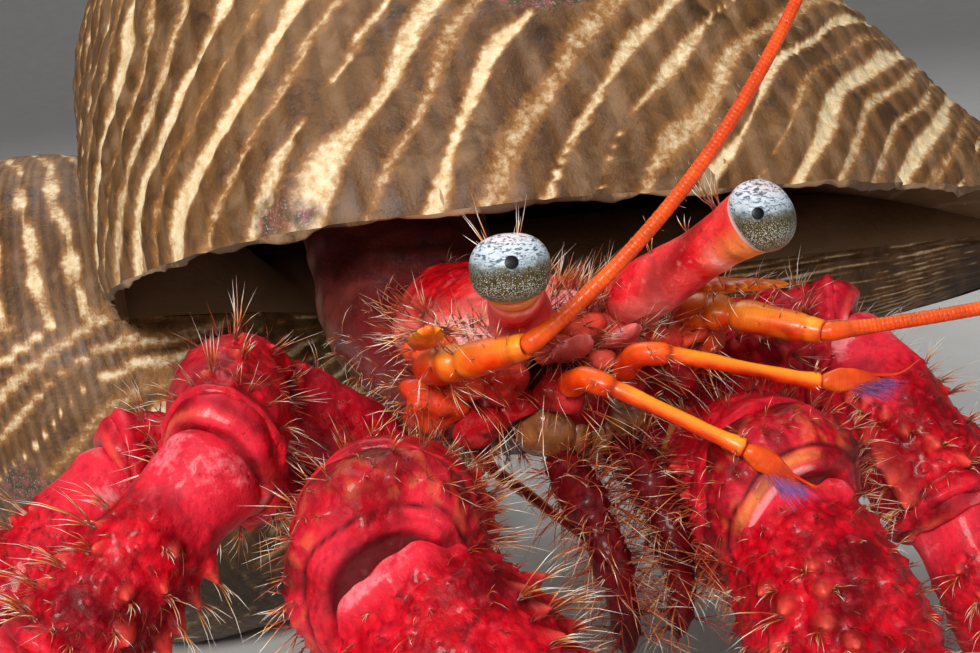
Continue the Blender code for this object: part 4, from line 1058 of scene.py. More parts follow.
# ---- limbs ------------------------------------------------------------------------------------
# Profiles: share of the length, half width, half height and, in the hand, upward shift.
LEG_MERUS = ((0.02, 1.3, 1.4), (0.06, 1.9, 2.0), (0.14, 2.1, 2.5), (0.25, 2.3, 3.0), (0.5, 3.0, 4.0),
             (0.74, 3.5, 4.5))
CLAW_MERUS = ((0.02, 1.4, 1.4), (0.06, 2.2, 2.2), (0.18, 2.7, 2.9), (0.3, 3.3, 3.9), (0.55, 4.8, 6.1),
              (0.76, 5.3, 6.6))
PALM = ((0.0, 2.5, 2.9, 0), (0.03, 3.9, 4.6, 0), (0.25, 5.0, 6.6, 0), (0.45, 4.9, 6.9, 0),
        (0.53, 4.4, 6.0, -0.4), (0.60, 3.4, 2.9, -3.2), (0.78, 2.7, 2.2, -2.8), (0.93, 1.6, 1.4, -1.9),
        (0.985, 0.62, 0.6, -1.2))
FINGER = ((0.56, 1.7, 1.3, 3.4), (0.60, 2.9, 2.2, 3.3), (0.66, 3.0, 2.4, 3.2), (0.78, 2.4, 2.1, 2.6),
          (0.91, 1.4, 1.2, 1.7), (0.965, 0.62, 0.55, 1.05))
POINTED_EDGE = {"right": (0.55, -0.44, -0.71), "left": (-0.75, -0.6, -0.1)}     # of each side's legs
LEG_SPACING = {"leg2": 0.175, "leg3": 0.27}     # between the mesh points of the legs, mm


def article_rows(length, width, height, head, neck=0.86):
    """Profile of a leg article: domed head, narrow neck, full middle, and a flared socket at its end."""
    parts = ((-1.3, 0.03), (-1.1, 0.42 * head), (-0.4, 0.80 * head), (0.7, head), (2.0, head * 0.99),
             (0.24 * length, neck + 0.02), (0.42 * length, 0.97), (0.62 * length, 1.0),
             (length - 2.2, 0.97), (length - 1.2, 0.93), (length - 0.5, 1.0), (length, 0.98),
             (length + 0.05, 0.86), (length - 0.9, 0.80), (length - 2.4, 0.62), (length - 2.9, 0.03))
    return [(x, width * share, height * share) for x, share in parts]


def dress(tube, seed, start, end, count, apart, size, height, hair, tops=0.55, lean=0.5, pointed=1.25):
    """Tubercles over an article, each with a tuft of bristles springing from its front foot."""
    rng = np.random.default_rng(tube.seed + seed)
    for row, column in tube.scatter(rng, count, apart, start, end):
        grow = rng.uniform(0.65, 1.25)
        tube.bump(row, column, size * grow, height * grow, lean=lean, power=pointed,
                  pale=tops * rng.uniform(0.5, 1))
        ahead = min(row + max(int(0.45 * size * grow / tube.spacing), 1), tube.rows - 1)
        tube.bump(ahead, column, size * 0.42, -0.05, dark=0.45)
        tube.coat.on(tube, ahead, column, int(rng.integers(2, 5)), hair * rng.uniform(0.36, 0.95),
                     spread=0.30, thick=0.029, curl=0.5,
                     tone=rng.choice((0.38, 0.52, 0.95), p=(0.62, 0.26, 0.12)))


def spine_row(tube, seed, direction, start, end, count, size, height, hair, wander=0.05):
    """A row of strong points along one edge, growing towards the far end, with long bristles between."""
    rng = np.random.default_rng(tube.seed + seed)
    for k in range(count):
        row = tube.row_at(start + (end - start) * (k + 0.5) / count)
        column = tube.toward(np.array(direction, float), row)
        column = (column + int(rng.normal(scale=wander) * tube.columns)) % tube.columns
        grow = rng.uniform(0.8, 1.15) * (0.75 + 0.35 * k / count)
        tube.bump(row, column, size * 1.5 * grow, 0.35 * height * grow)
        tube.bump(row, column, size * grow, height * grow, lean=0.75, power=1.15, pale=0.75, warm=0.25)
        beside = (column + int(rng.choice((-1, 1)) * 0.8 * size / tube.spacing)) % tube.columns
        tube.coat.on(tube, min(row + 2, tube.rows - 1), beside, 7, hair * rng.uniform(0.7, 1.4), spread=0.22,
                     thick=0.042, curl=0.35)


def socket(tube, seed, length, hair, rim=0.20):
    """The joint's rim: a raised lip with two round hinge knobs, a groove behind, a fringe, and painted shade
    inside the opening.
    """
    rng = np.random.default_rng(tube.seed + seed)
    groove = peak(tube.x - (length - 1.55), 0.22) * ~tube.inside
    lip = peak(tube.x - (length - 0.45), 0.35) * ~tube.inside
    tube.swell(rim * lip - 0.8 * rim * groove)
    # The inside of the opening is darkened with painted shade.
    tube.tint(dark=0.38 * groove + 0.5 * tube.inside, pale=0.35 * lip)
    row = tube.row_at(length - 1.0)
    for direction in (tube.across[row], -tube.across[row]):
        place, near = tube.window(row, tube.toward(direction, row), 1.5)
        ring, centre = peak(near - 0.42, 0.12), peak(near - 1.0, 0.22)
        tube.offset[place] += tube.normals[place] * (0.30 * ring + 0.34 * centre)[..., None]
        for key, value in (("pale", 0.95 * centre + 0.5 * ring), ("dark", 0.45 * peak(near - 0.68, 0.08))):
            tube.values[key][place] = np.maximum(tube.values[key][place], value)
    row = tube.row_at(length - 1.3)
    for column in range(0, tube.columns, max(tube.columns // 16, 1)):
        shifted = (column + int(rng.integers(0, 5))) % tube.columns
        tube.coat.on(tube, row, shifted, int(rng.integers(2, 6)), hair * rng.uniform(0.6, 1.2), spread=0.32,
                     thick=0.034, curl=0.55)


def mitre(tube, full, ahead, reach, hood):
    """Cuts an article's open end askew, so that it faces the next article and hoods its root."""
    way = tube.tangent[tube.row_at(full)]
    side = unit(ahead - way * np.dot(ahead, way))
    tilt = 0.42 * np.arccos(np.clip(np.dot(ahead, way), -1, 1))
    across = (tube.base - tube.base.mean(axis=1, keepdims=True)) @ side
    near = clamp((tube.x - (full - reach)) / reach)
    shift = -np.tan(tilt) * across * per_point(near * near * (3 - 2 * near))
    shift *= np.where(shift > 0, hood, 1.0)
    tube.offset += way * shift[..., None]
    return unit(way * cos(tilt) + side * sin(tilt)), side


def knuckle(tube, seed, full, facing, side, half, bulge, hairy):
    """The domed skin that fills a joint's opening: a curved crease drawn as a dark line of painted shade, a
    pale hinge membrane, and a sunken slit round the next article's root, darkened with painted shade.
    """
    row = tube.row_at(full)
    centre = tube.base[row].mean(axis=0) - facing * (0.08 if hairy else 0.22) * bulge
    course = Course((centre - facing * bulge, centre + facing * bulge), tube.lift[row])
    dome = Tube(course, egg_rows(bulge, *half, 24, 9), tube.spacing, 2.15, 0.4, tube.coat, tube.seed + seed)
    dome.roughen(2.6, 0.16, 0)
    dome.roughen(1.1, 0.07, 1)
    out = unit(dome.base - centre)
    mottle = clamp(1.3 * dome.waves(1.7, 5))
    dome.tint(pale=0.22 + 0.45 * np.clip(dome.waves(2.6, 2), -0.5, 1),
              dark=0.36 * mottle + 0.06 if hairy else 0.22 * mottle)
    if hairy:
        lined_skin(dome, out, out @ facing, bulge, centre[0] > 0)
        return dome
    height = out @ facing
    hinge = clamp(1.6 * np.abs(out @ np.cross(facing, side)) - 0.5)
    # Painted shade in the sunken slit round the next article's root, and a dark line painted for the crease's
    # shade.
    shaded_slit = clamp((height - 0.36) / 0.12)
    dome.swell(-0.5 * shaded_slit)
    dome.tint(dark=0.25 * peak(height - 0.10, 0.08) + 0.5 * shaded_slit,
              pale=0.5 * peak(height - 0.28, 0.08) * (0.5 + 0.7 * hinge),
              warm=0.25 * peak(height - 0.26, 0.06) * hinge)
    return dome


def lined_skin(dome, out, height, bulge, lit):
    """A claw's knee: tufted knobs round the edge, then a fold and a hollow, both darkened with painted shade,
    fine lines, and on the lit claw a painted highlight: a pale crescent with an orange band.
    """
    rng = np.random.default_rng(dome.seed + 6)
    for row, column in dome.scatter(rng, 60, 0.8, 1.02 * bulge, 1.42 * bulge):
        dome.bump(row, column, 0.5, 0.26, pale=0.5)
        dome.coat.on(dome, row, column, int(rng.integers(2, 5)), rng.uniform(0.7, 1.6), spread=0.3,
                     thick=0.032, tone=rng.choice((0.55, 0.95)))
    ring = height + 0.04 * dome.waves(3.5, 3)
    # Painted shade in the fold and in the hollow round the next article's root.
    shaded_fold = peak(ring - 0.42, 0.020)
    lined = np.sin(ring * 100 + 1.6 * dome.waves(2.2, 4)) * clamp(1 - np.abs(ring - 0.54) / 0.10)
    shaded_hollow = clamp((ring - 0.63) / 0.09)
    # Painted highlight: a pale crescent with an orange band on the side that faces the key light, on the lit
    # claw only.
    faces_key_light = clamp(5.0 * (out @ unit((-0.60, -0.45, 0.55))) - 3.4) * lit
    painted_crescent = peak(ring - 0.64, 0.05) * faces_key_light
    dome.swell(0.030 * lined - 0.22 * shaded_fold - 0.6 * shaded_hollow)
    dome.tint(pale=0.22 * lined + 1.4 * painted_crescent,
              dark=0.70 * shaded_fold + 0.68 * shaded_hollow + 0.26 * clamp(1 - ring / 0.42) + 0.10 * clamp(-lined),
              warm=(0.24 * clamp(2 * dome.waves(0.7, 7) - 0.4) * (ring < 0.42)
                    + 0.9 * peak(ring - 0.52, 0.06) * faces_key_light))
    dome.values["dark"] = np.minimum(dome.values["dark"], 0.78) * (1 - painted_crescent)


def close_joint(tube, seed, node, full, ahead, half, reach=1.3, snug=0.92, bulge=0.5, hood=0.45, hairy=False):
    """Cuts an article's end towards the next one, fills the opening with skin, and makes the piece."""
    facing, side = mitre(tube, full, ahead, reach * half[1], hood)
    shape = Shape()
    tube.add_to(shape)
    filling = (snug * half[0], snug * half[1])
    knuckle(tube, seed, full, facing, side, filling, bulge * half[0], hairy).add_to(shape)
    shape.make(f"{node}_surface", RED_LIMB, "limb_red", [node])


def pale_head(tube, reach):
    """The smooth bare skin at the root of an article, pink and shiny."""
    fade = per_point(clamp(1 - (tube.x - reach * 0.45) / (reach * 0.55)))
    line = tube.x - reach * 0.62 - 0.4 * waves(tube.base[:, 0], 2, 8)
    tube.tint(pale=0.92 * fade * (0.85 + 0.2 * waves(tube.base, 2.4, 7)), dark=0.10 * peak(line, 0.10))


def horny(tube, start, end):
    """Darkens a tip to horn."""
    tube.tint(dark=1.2 * clamp((tube.x - start) / (end - start)))


def on_floor(tube):
    """Keeps a surface from dipping below the floor."""
    tube.offset[..., 2] = np.maximum(tube.offset[..., 2], FLOOR - tube.base[..., 2])


def upper_arm(node, plan, parts, coat, seed, spacing, spines, claw=False):
    """The merus: a deep three-sided article from under the body to the knee."""
    course = Course((plan["hip"], plan["bend"], plan["knee"]))
    full = course.length
    slim = plan.get("slim", 1.0)
    rows = [(0.0, 0.05, 0.05)]
    for share, w, h in parts:
        size = plan["size"] * (slim if 0.40 < share < 0.62 else 1.0)
        rows.append((share * full, w * size, h * size))
    w, h = rows[-1][1:]
    for back, wide, high in ((2.0, 1, 1), (1.1, 0.99, 0.99), (0.5, 1, 1), (0, 0.97, 0.97),
                             (-0.05, 0.88, 0.88), (1.2, 0.8, 0.82), (3.0, 0.55, 0.55)):
        rows.append((full - back, w * wide, h * high))
    rows.append((full - 3.4, 0.04, 0.04))
    tube = Tube(course, rows, spacing, 2.15, 0.8, coat, seed)
    for share in (0.10, 0.22 if slim == 1.0 else 0.50):
        ring = peak(tube.x - share * full, 0.35) * ~tube.inside
        tube.swell(-0.28 * ring)
        tube.tint(dark=0.5 * ring)
    tube.roughen(3.4, 0.13, 0)
    tube.roughen(1.0, 0.045, 1)
    crease = clamp(peak(tube.waves(2.6, 2), 0.09) * (0.5 + 0.5 * tube.waves(5.0, 3)))
    tube.swell(-0.05 * crease)
    tube.tint(dark=0.16 * crease, pale=0.30 * clamp(tube.waves(4.0, 4)))
    # Painted shadow: the slim arm darkens towards the hip, where it runs back into the shade under the body.
    if slim < 1.0:
        tube.tint(dark=0.34 * clamp(2.0 - 4.0 * tube.x / full))
    if claw:
        tubercles, rim, joint = 119, 0.03, dict(snug=0.99, bulge=0.78, hood=0.12, hairy=True)
    else:
        tubercles, rim, joint = 70, 0.22, dict(snug=0.95, bulge=0.62)
    dress(tube, 5, 0.3 * full, full - 1.8, tubercles, 1.15, 0.55, 0.16, 1.5, tops=0.5, pointed=0.0)
    for k, direction in enumerate(spines):
        spine_row(tube, 7 + k, direction, 0.45 * full, full - 1.6, 6, 0.6, 0.45, 2.1)
    socket(tube, 9, full, 1.9, rim)
    close_joint(tube, 40, node, full, heading(*plan["carpus"][:2]), (w, h), 1.4, **joint)


def walking_leg(name, plan, seed):
    """Four articles; the front ones carry the strong points and tufts that face forward."""
    side = name.split("_")[1]
    size = plan["size"]
    spacing = LEG_SPACING[name.split("_")[0]]
    coat = Coat(f"bristles_{name}", 4, seed)
    inner = np.array(POINTED_EDGE[side])
    outer = -inner + (0, -0.5, 0.3)
    upper_arm(f"{name}_merus", plan, LEG_MERUS, coat, seed, spacing * 1.15,
              [mirrored((0.5, -0.7, 0.6), side), mirrored((-0.2, -0.6, -0.9), side)])

    coat.cell = 1
    knee = np.array(plan["knee"])
    az, el, length = plan["carpus"]
    wrist = knee + heading(az, el) * length
    lean = size * plan.get("lean", 1.0)
    half = (3.9 * lean, 4.35 * lean)
    rows = article_rows(length, *half, 0.97 if "lean" in plan else 0.80)
    tube = Tube(Course((knee, wrist)), rows, spacing, 2.25, 0.8, coat, seed + 10)
    tube.roughen(2.6, 0.12, 1)
    tube.roughen(0.9, 0.04, 2)
    pale_head(tube, 0.40 * length)
    dress(tube, 3, 0.34 * length, length - 1.3, 66, 1.1, 0.46, 0.20, 0.9, tops=0.42, lean=0.3)
    dress(tube, 9, 0.62 * length, length - 1.3, 34, 1.1, 0.54, 0.32, 0.9, tops=0.5)
    spine_row(tube, 4, inner, 0.30 * length, length - 0.9, 6, 1.05, 1.55, 1.9, 0.015)
    spine_row(tube, 5, inner + (0, 0, 0.9), 0.36 * length, length - 1.2, 5, 0.75, 0.85, 1.4, 0.03)
    spine_row(tube, 6, outer, 0.35 * length, length - 1.2, 6, 0.5, 0.45, 2.2, 0.04)
    socket(tube, 7, length, 1.5)
    close_joint(tube, 8, f"{name}_carpus", length, heading(*plan["propodus"][:2]), half)

    coat.cell = 2
    az, el, length = plan["propodus"]
    ankle = wrist + heading(az, el) * length
    half = (3.35 * size, 3.8 * size)
    rows = article_rows(length, *half, 0.84, neck=0.92)
    tube = Tube(Course((wrist, ankle)), rows, spacing * 1.25, 2.25, 0.8, coat, seed + 20)
    tube.roughen(2.6, 0.10, 1)
    pale_head(tube, 0.2 * length)
    dress(tube, 3, 0.16 * length, length - 1.2, 120, 1.0, 0.45, 0.22, 1.1, tops=0.45, lean=0.4)
    spine_row(tube, 4, inner, 0.15 * length, length - 0.9, 9, 0.6, 0.75, 1.8, 0.03)
    spine_row(tube, 5, outer, 0.15 * length, length - 0.9, 8, 0.5, 0.5, 2.2, 0.03)
    socket(tube, 6, length, 1.4)
    az, reach = plan["dactyl"]
    foot = heading(az, -degrees(asin((ankle[2] - FLOOR) / reach)))
    close_joint(tube, 7, f"{name}_propodus", length, foot, half)

    coat.cell = 3
    toe = ankle + foot * reach
    toe[2] = FLOOR
    dactyl(f"{name}_dactyl", ankle, toe, size, spacing * 1.3, coat, seed + 30, inner)
    coat.make(BRISTLE, "limb_red")


def dactyl(node, ankle, toe, size, spacing, coat, seed, inner):
    """The pointed last article, bowed, tufted along its edges, with a dark horny tip on the floor."""
    course = Course((ankle, 0.5 * (ankle + toe) + (0, 0, 1.8), toe))
    full = course.length
    parts = ((-0.9, 1.3, 1.4), (0.0, 2.3, 2.5), (1.6, 2.5, 2.85), (0.3 * full, 2.3, 2.7),
             (0.6 * full, 1.7, 2.0), (0.85 * full, 1.0, 1.15))
    rows = [(-1.1, 0.04, 0.04)] + [(x, w * size, h * size) for x, w, h in parts]
    rows += [(full - 0.9, 0.72, 0.74), (full - 0.25, 0.60, 0.62), (full - 0.05, 0.3, 0.3), (full, 0.03, 0.03)]
    tube = Tube(course, rows, spacing, 2.15, 0.5, coat, seed)
    tube.roughen(2.4, 0.07, 0)
    for turn in (-0.8, 0.8):
        for row, x in enumerate(tube.x):
            depth = 0.22 * clamp((x - 2) / 4) * clamp((full - 3 - x) / 4)
            way = tube.across[row] * turn + tube.lift[row] * 0.5
            tube.bump(row, tube.toward(way, row), 0.45, -0.35 * depth, dark=0.25)
    dress(tube, 1, 0.9, 0.78 * full, 90, 0.95, 0.42, 0.22, 1.2, tops=0.45)
    for k, way in enumerate((inner, -inner, inner + (0, 0, 1.5))):
        spine_row(tube, 2 + k, way, 1.5, 0.85 * full, 11, 0.34, 0.34, 1.6, 0.01)
    horny(tube, full - 4.2, full - 1.8)
    on_floor(tube)
    tube.make(f"{node}_surface", RED_LIMB, "limb_red", [node])


def claw(side, seed):
    """A clawed leg: heavy arm, spiny wrist piece, and a palm whose two fingers end in dark horn."""
    plan = CLAWS[side]
    name, size = f"claw_{side}", plan["size"]
    coat = Coat(f"bristles_{name}", 4, seed)
    upper_arm(f"{name}_merus", plan, CLAW_MERUS, coat, seed, 0.22,
              [mirrored((-0.6, -0.5, 0.5), side), mirrored((-0.8, -0.2, -0.6), side)], claw=True)

    coat.cell = 1
    knee = np.array(plan["knee"])
    az, el, length = plan["carpus"]
    wrist = knee + heading(az, el) * length
    half = (5.2 * size, 5.6 * size)
    tube = Tube(Course((knee, wrist)), article_rows(length, *half, 0.78), 0.20, 2.2, 0.9, coat, seed + 10)
    tube.roughen(2.8, 0.16, 1)
    tube.roughen(0.9, 0.05, 2)
    pale_head(tube, 0.16 * length)
    dress(tube, 3, 0.10 * length, length - 1.2, 150, 1.1, 0.60, 0.36, 1.3, tops=0.6, lean=0.6)
    for k, way in enumerate(((-0.9, -0.2, 0.3), (-0.4, -0.3, 0.9))):
        spine_row(tube, 4 + k, mirrored(way, side), 0.35 * length, length - 0.9, 5, 0.9, 1.15, 2.0, 0.02)
    socket(tube, 7, length, 1.6)
    drop = wrist[2] - FLOOR - FINGER_TIP_HEIGHT
    way = heading(plan["palm_az"], -degrees(asin(min(drop / plan["chela"], 0.95))))
    close_joint(tube, 8, f"{name}_carpus", length, way, half)

    coat.cell = 2
    length = plan["chela"]
    course = Course((wrist, wrist + way * length))

    def scaled(parts):
        return [(share * length, w * size, h * size, 0, shift * size) for share, w, h, shift in parts]

    rows = [(-1.3, 0.04, 0.04), (-1.0, 1.8 * size, 2.1 * size)] + scaled(PALM)
    rows += [(length - 0.1, 0.04, 0.04, 0, -1.2 * size)]
    tube = Tube(course, rows, 0.29, 2.15, 1.2, coat, seed + 20)
    tube.roughen(3.0, 0.15, 1)
    pale_head(tube, 3.0)
    dress(tube, 2, 1.5, 0.86 * length, 240, 1.2, 0.75, 0.55, 1.2, tops=0.6, lean=0.9)
    spine_row(tube, 3, mirrored((-1, -0.2, 0.5), side), 2.0, 0.5 * length, 6, 0.9, 1.0, 1.8, 0.02)
    teeth(tube, 0.60 * length, 0.94 * length, 1)
    horny(tube, 0.90 * length, 0.955 * length)
    on_floor(tube)
    tube.make(f"{name}_palm_surface", RED_LIMB, "limb_red", [f"{name}_palm"])

    coat.cell = 3
    rows = [(0.55 * length, 0.04, 0.04, 0, 3.4 * size)] + scaled(FINGER)
    rows += [(0.972 * length, 0.04, 0.04, 0, 0.95 * size)]
    tube = Tube(course, rows, 0.24, 2.1, 0.8, coat, seed + 30)
    tube.roughen(2.4, 0.10, 1)
    dress(tube, 2, 0.58 * length, 0.88 * length, 80, 1.0, 0.55, 0.42, 1.1, tops=0.6, lean=0.9)
    teeth(tube, 0.62 * length, 0.94 * length, -1)
    horny(tube, 0.88 * length, 0.94 * length)
    tube.make(f"{name}_finger_surface", RED_LIMB, "limb_red", [f"{name}_dactyl"])
    coat.make(BRISTLE, "limb_red")


def teeth(tube, start, end, way):
    """Blunt biting teeth along the edge that faces the other finger."""
    for k in range(8):
        row = tube.row_at(start + (end - start) * (k + 0.5) / 8)
        tube.bump(row, tube.toward(tube.lift[row] * way, row), 0.75, 0.42, pale=1.0, warm=0.2)


def rear_leg(side, seed):
    """The small bracing leg inside the shell's mouth, with a rasp on top of its end."""
    course = Course([mirrored(p, side) for p in ((6.4, 20.6, -12.4), (9.4, 25.0, -13.0), (10.4, 30.0, -11.0),
                                                 (9.4, 33.0, -8.0))])
    full = course.length
    rows = [(-0.2, 0.04, 0.04)]
    rows += shares_of(full, ((0.0, 1.1, 1.2), (0.1, 1.5, 1.6), (0.3, 1.5, 1.8), (0.36, 1.1, 1.3),
                             (0.45, 1.5, 1.8), (0.6, 1.2, 1.5), (0.65, 1.0, 1.2), (0.8, 1.6, 2.0),
                             (0.95, 1.1, 1.3), (1.0, 0.05, 0.05)))
    coat = Coat(f"bristles_leg4_{side}", 1, seed)
    tube = Tube(course, rows, 0.24, 2.1, 0.6, coat, seed)
    tube.roughen(1.6, 0.08, 0)
    dress(tube, 1, 0.5, full - 0.4, 60, 0.9, 0.4, 0.14, 1.3)
    rasp = per_point(clamp(tube.x - 0.75 * full)) * clamp(tube.normals[..., 2])
    tube.swell(0.12 * rasp * (tube.waves(0.35, 2) > 0.4))
    tube.tint(dark=0.3 * rasp)
    tube.make(f"leg4_{side}_surface", RED_LIMB, "limb_red", [f"leg4_{side}"])
    coat.make(BRISTLE, "limb_red")


# ---- shell ------------------------------------------------------------------------------------
SHELL_LENGTH, LIP_RADIUS, EXPANSION = 136.0, 61.0, 2.3
LIP_POINT = np.array((-5.0, 17.3, 5.0))
APEX_HEADING = np.array((-0.885, 0.463, -0.03))
LIP_HEADING = np.array((-0.44, -0.86, 0.322))
SUTURE_DEPTH, WIDEST_DEPTH, BASE_DEPTH = 0.30, 0.52, 0.98
PILLAR_RADIUS, WALL, SPIRE_TURNS = 8.5, 1.5, 2.5
RIBS = 64                                       # low cords from the suture to the base
OUTLINE_LENGTH = 205.0                          # from suture to base at the lip, mm
FLAME_PITCH, FLAME_SLANT = 5.4, 320.0           # pale flames: their spacing, and lean for each turn, mm
CRUST_SPOT = np.array((-30.0, 14.0, 6.0))       # where the bare, overgrown patch lies beside the mouth
LIP_ROWS, SPIRE_ROWS, HOLLOW_ROWS, EDGE_ROWS = 270, 190, 66, 7
UPPER, LOWER = 110, 170                         # points of the outline above and below the suture
HOLLOW_TURN = 0.75                              # how far back the mouth's cavity goes
SHELL_SEED = 301
APEX = unit(APEX_HEADING)
LIP = unit(LIP_HEADING - APEX * np.dot(LIP_HEADING, APEX))
MOUTH = np.cross(LIP, APEX)
AXIS_TOP = LIP_POINT + APEX * SHELL_LENGTH * WIDEST_DEPTH - LIP * LIP_RADIUS


def run_shares(points):
    """Each point's share of the way along a line of points."""
    length = distances(points)
    return length / length[-1]


def resample(points, count):
    return columns_at(np.linspace(0, 1, count), run_shares(points), points)


def lower_outline(depth):
    """Radius of the last whorl, at full growth, at a depth below the apex past its widest part."""
    span = SHELL_LENGTH * (BASE_DEPTH - WIDEST_DEPTH)
    reach = clamp((depth - SHELL_LENGTH * WIDEST_DEPTH) / span)
    return LIP_RADIUS * np.sqrt(1 - reach ** 2)


def whorl_outline(growth):
    """Radius and depth below the apex down one side of the whorl, from suture to siphonal tip."""
    suture, widest = SHELL_LENGTH * SUTURE_DEPTH, SHELL_LENGTH * WIDEST_DEPTH
    next_suture = suture * EXPANSION
    suture_radius = float(lower_outline(next_suture)) / EXPANSION
    t = 0.5 * pi * np.linspace(0, 1, 40)[:-1]
    shoulder = np.stack((suture_radius + (LIP_RADIUS - suture_radius) * np.sin(t),
                         widest - (widest - suture) * np.cos(t)), axis=1)
    side = np.linspace(widest, next_suture, 12)
    side = np.stack((lower_outline(side), side), axis=1)
    upper = resample(np.vstack((shoulder, side)) * growth, UPPER)
    top = next_suture * growth
    depths = np.linspace(top, SHELL_LENGTH, 160)
    body = lower_outline(depths / growth) * growth
    pillar = PILLAR_RADIUS * clamp(1 - (depths / SHELL_LENGTH) ** 6) ** 0.5
    share = clamp((depths - top) / (0.12 * SHELL_LENGTH))
    merged = (body ** 3 + (pillar * share) ** 3) ** (1 / 3)
    lower = resample(np.stack((merged, depths), axis=1), LOWER + 1)
    return np.vstack((upper, lower[1:]))


def place(outline, turn):
    """Points of an outline (radius, depth) standing at a turn of the coil, measured from the lip."""
    outward = cos(2 * pi * turn) * LIP + sin(2 * pi * turn) * MOUTH
    return AXIS_TOP + np.outer(outline[:, 0], outward) - np.outer(outline[:, 1], APEX)


def rib_profile(share, sway):
    """Height of the spiral cords, 0 to 1: strong and weak ones in turn, wandering a little."""
    phase = RIBS * share + sway
    crest = np.cos(pi * (phase - np.round(phase)))
    strong = 0.72 + 0.28 * np.cos(pi * np.round(phase))
    return crest ** 4 * strong


def flames(share, turn, sway, breaks):
    """Pale flames that run back from the lip and slant across the cords, uneven and broken."""
    phase = (share * OUTLINE_LENGTH * EXPANSION ** turn + FLAME_SLANT * turn) / FLAME_PITCH + sway
    number = np.round(phase)
    wide = 0.17 + 0.08 * np.sin(2.1 * number + 1.0) + 0.08 * breaks
    strong = 0.74 + 0.26 * np.sin(3.7 * number)
    return clamp(1.5 - np.abs(phase - number) / np.maximum(wide, 0.03)) * strong


def between(share, rise, start, fall, end):
    """1 on the middle of the outline, fading over the widths rise and fall to 0 at start and end."""
    return clamp((share - start) / rise) * clamp((end - share) / fall)


def sculpt(grid, turns, shares):
    """Ribs, growth lines and general unevenness of the shell's outside, and its colour values."""
    normal = np.cross(np.gradient(grid, axis=0), np.gradient(grid, axis=1))
    normal /= np.maximum(np.linalg.norm(normal, axis=2, keepdims=True), 1e-9)
    turn, share = turns[:, None], shares[None, :]

    def wavy(size, step):
        return waves(grid, size, SHELL_SEED + step)

    rib = rib_profile(share, 0.34 * wavy(16.0, 0) + 0.10 * wavy(5.0, 1)) * between(share, 0.03, 0, 0.06, 0.97)
    fade = between(share, 0.03, 0, 0.02, 0.995)
    flame = flames(share, turn, 0.55 * wavy(26.0, 6) + 0.22 * wavy(8.0, 7), wavy(5.0, 8)) * fade
    line = waves(np.stack((turns * 330, turns * 0, turns * 0), axis=1), 2.2, SHELL_SEED + 2)[:, None]
    twisted = between(share, 0.04, 0.90, 0.02, 1.0)
    wrinkle = twisted * (0.5 + 0.5 * np.sin(2 * pi * 26 * turn + 1.5 * wavy(6.0, 9)))
    height = EXPANSION ** turn * (0.55 * wrinkle + 0.24 * rib + 0.34 * flame
                                  + (0.10 * line + 0.30 * wavy(7.0, 3)) * fade)
    outward = grid + normal * height[..., None]
    outward[..., 2] = np.maximum(outward[..., 2], FLOOR)
    # Painted shadow: darker towards the floor.
    painted_low_shade = clamp((36.0 - (grid[..., 2] - FLOOR)) / 20.0 + 0.35 * wavy(11.0, 10))
    # The dark value: painted low shade, darker between the wrinkles of the twisted end and next to the
    # suture, and random stains between the cords.
    stains_and_shade = (0.72 * painted_low_shade + 0.5 * twisted * (1 - wrinkle) + clamp(0.5 - 0.9 * share * 6)
             + 0.35 * clamp(wavy(9.0, 4)) * (1 - rib))
    crust = clamp(0.55 * wavy(13.0, 5) - 0.30)
    patch = peak(np.linalg.norm(grid - CRUST_SPOT, axis=2), 15.0)
    return outward, dict(pale=flame, dark=stains_and_shade, warm=np.clip(crust + 1.1 * patch, 0, 1.2), along=rib)


def shell():
    """The last whorl, the spire of older whorls that it hides in part, and the lined mouth."""
    turns = -np.linspace(0, 1, LIP_ROWS) ** 1.45
    outline = [whorl_outline(EXPANSION ** turn) for turn in turns]
    shares = run_shares(outline[0])
    outer, values = sculpt(np.array([place(line, turn) for line, turn in zip(outline, turns)]), turns, shares)
    shape = Shape()
    shape.add(outer, [grid_faces(LIP_ROWS, UPPER + LOWER, closed=False)], **values)
    older = np.linspace(-1, -(1 + SPIRE_TURNS), SPIRE_ROWS)
    tuck = UPPER + 6
    grid = np.array([place(whorl_outline(EXPANSION ** turn)[:tuck], turn) for turn in older])
    spire, values = sculpt(grid, older, shares[:tuck])
    shape.add(spire, [grid_faces(SPIRE_ROWS, tuck, closed=False)], **values)
    nose = place(np.array([[0.0, 0.4 * SUTURE_DEPTH * SHELL_LENGTH * EXPANSION ** older[-1]]]), 0)
    shape.add(np.vstack((nose, spire[-1])), [np.array([(0, k, k + 1) for k in range(1, tuck)])], dark=0.5)
    crown = spire[-int(SPIRE_ROWS / SPIRE_TURNS) - 2:, 0]
    shape.add(np.vstack((nose, crown)), [np.array([(0, k + 1, k) for k in range(1, len(crown))])], dark=0.3)
    shape.make("shell_outside", SHELL_OUTSIDE, "shell_brown", ["shell"])
    lining(outer[0], shares)


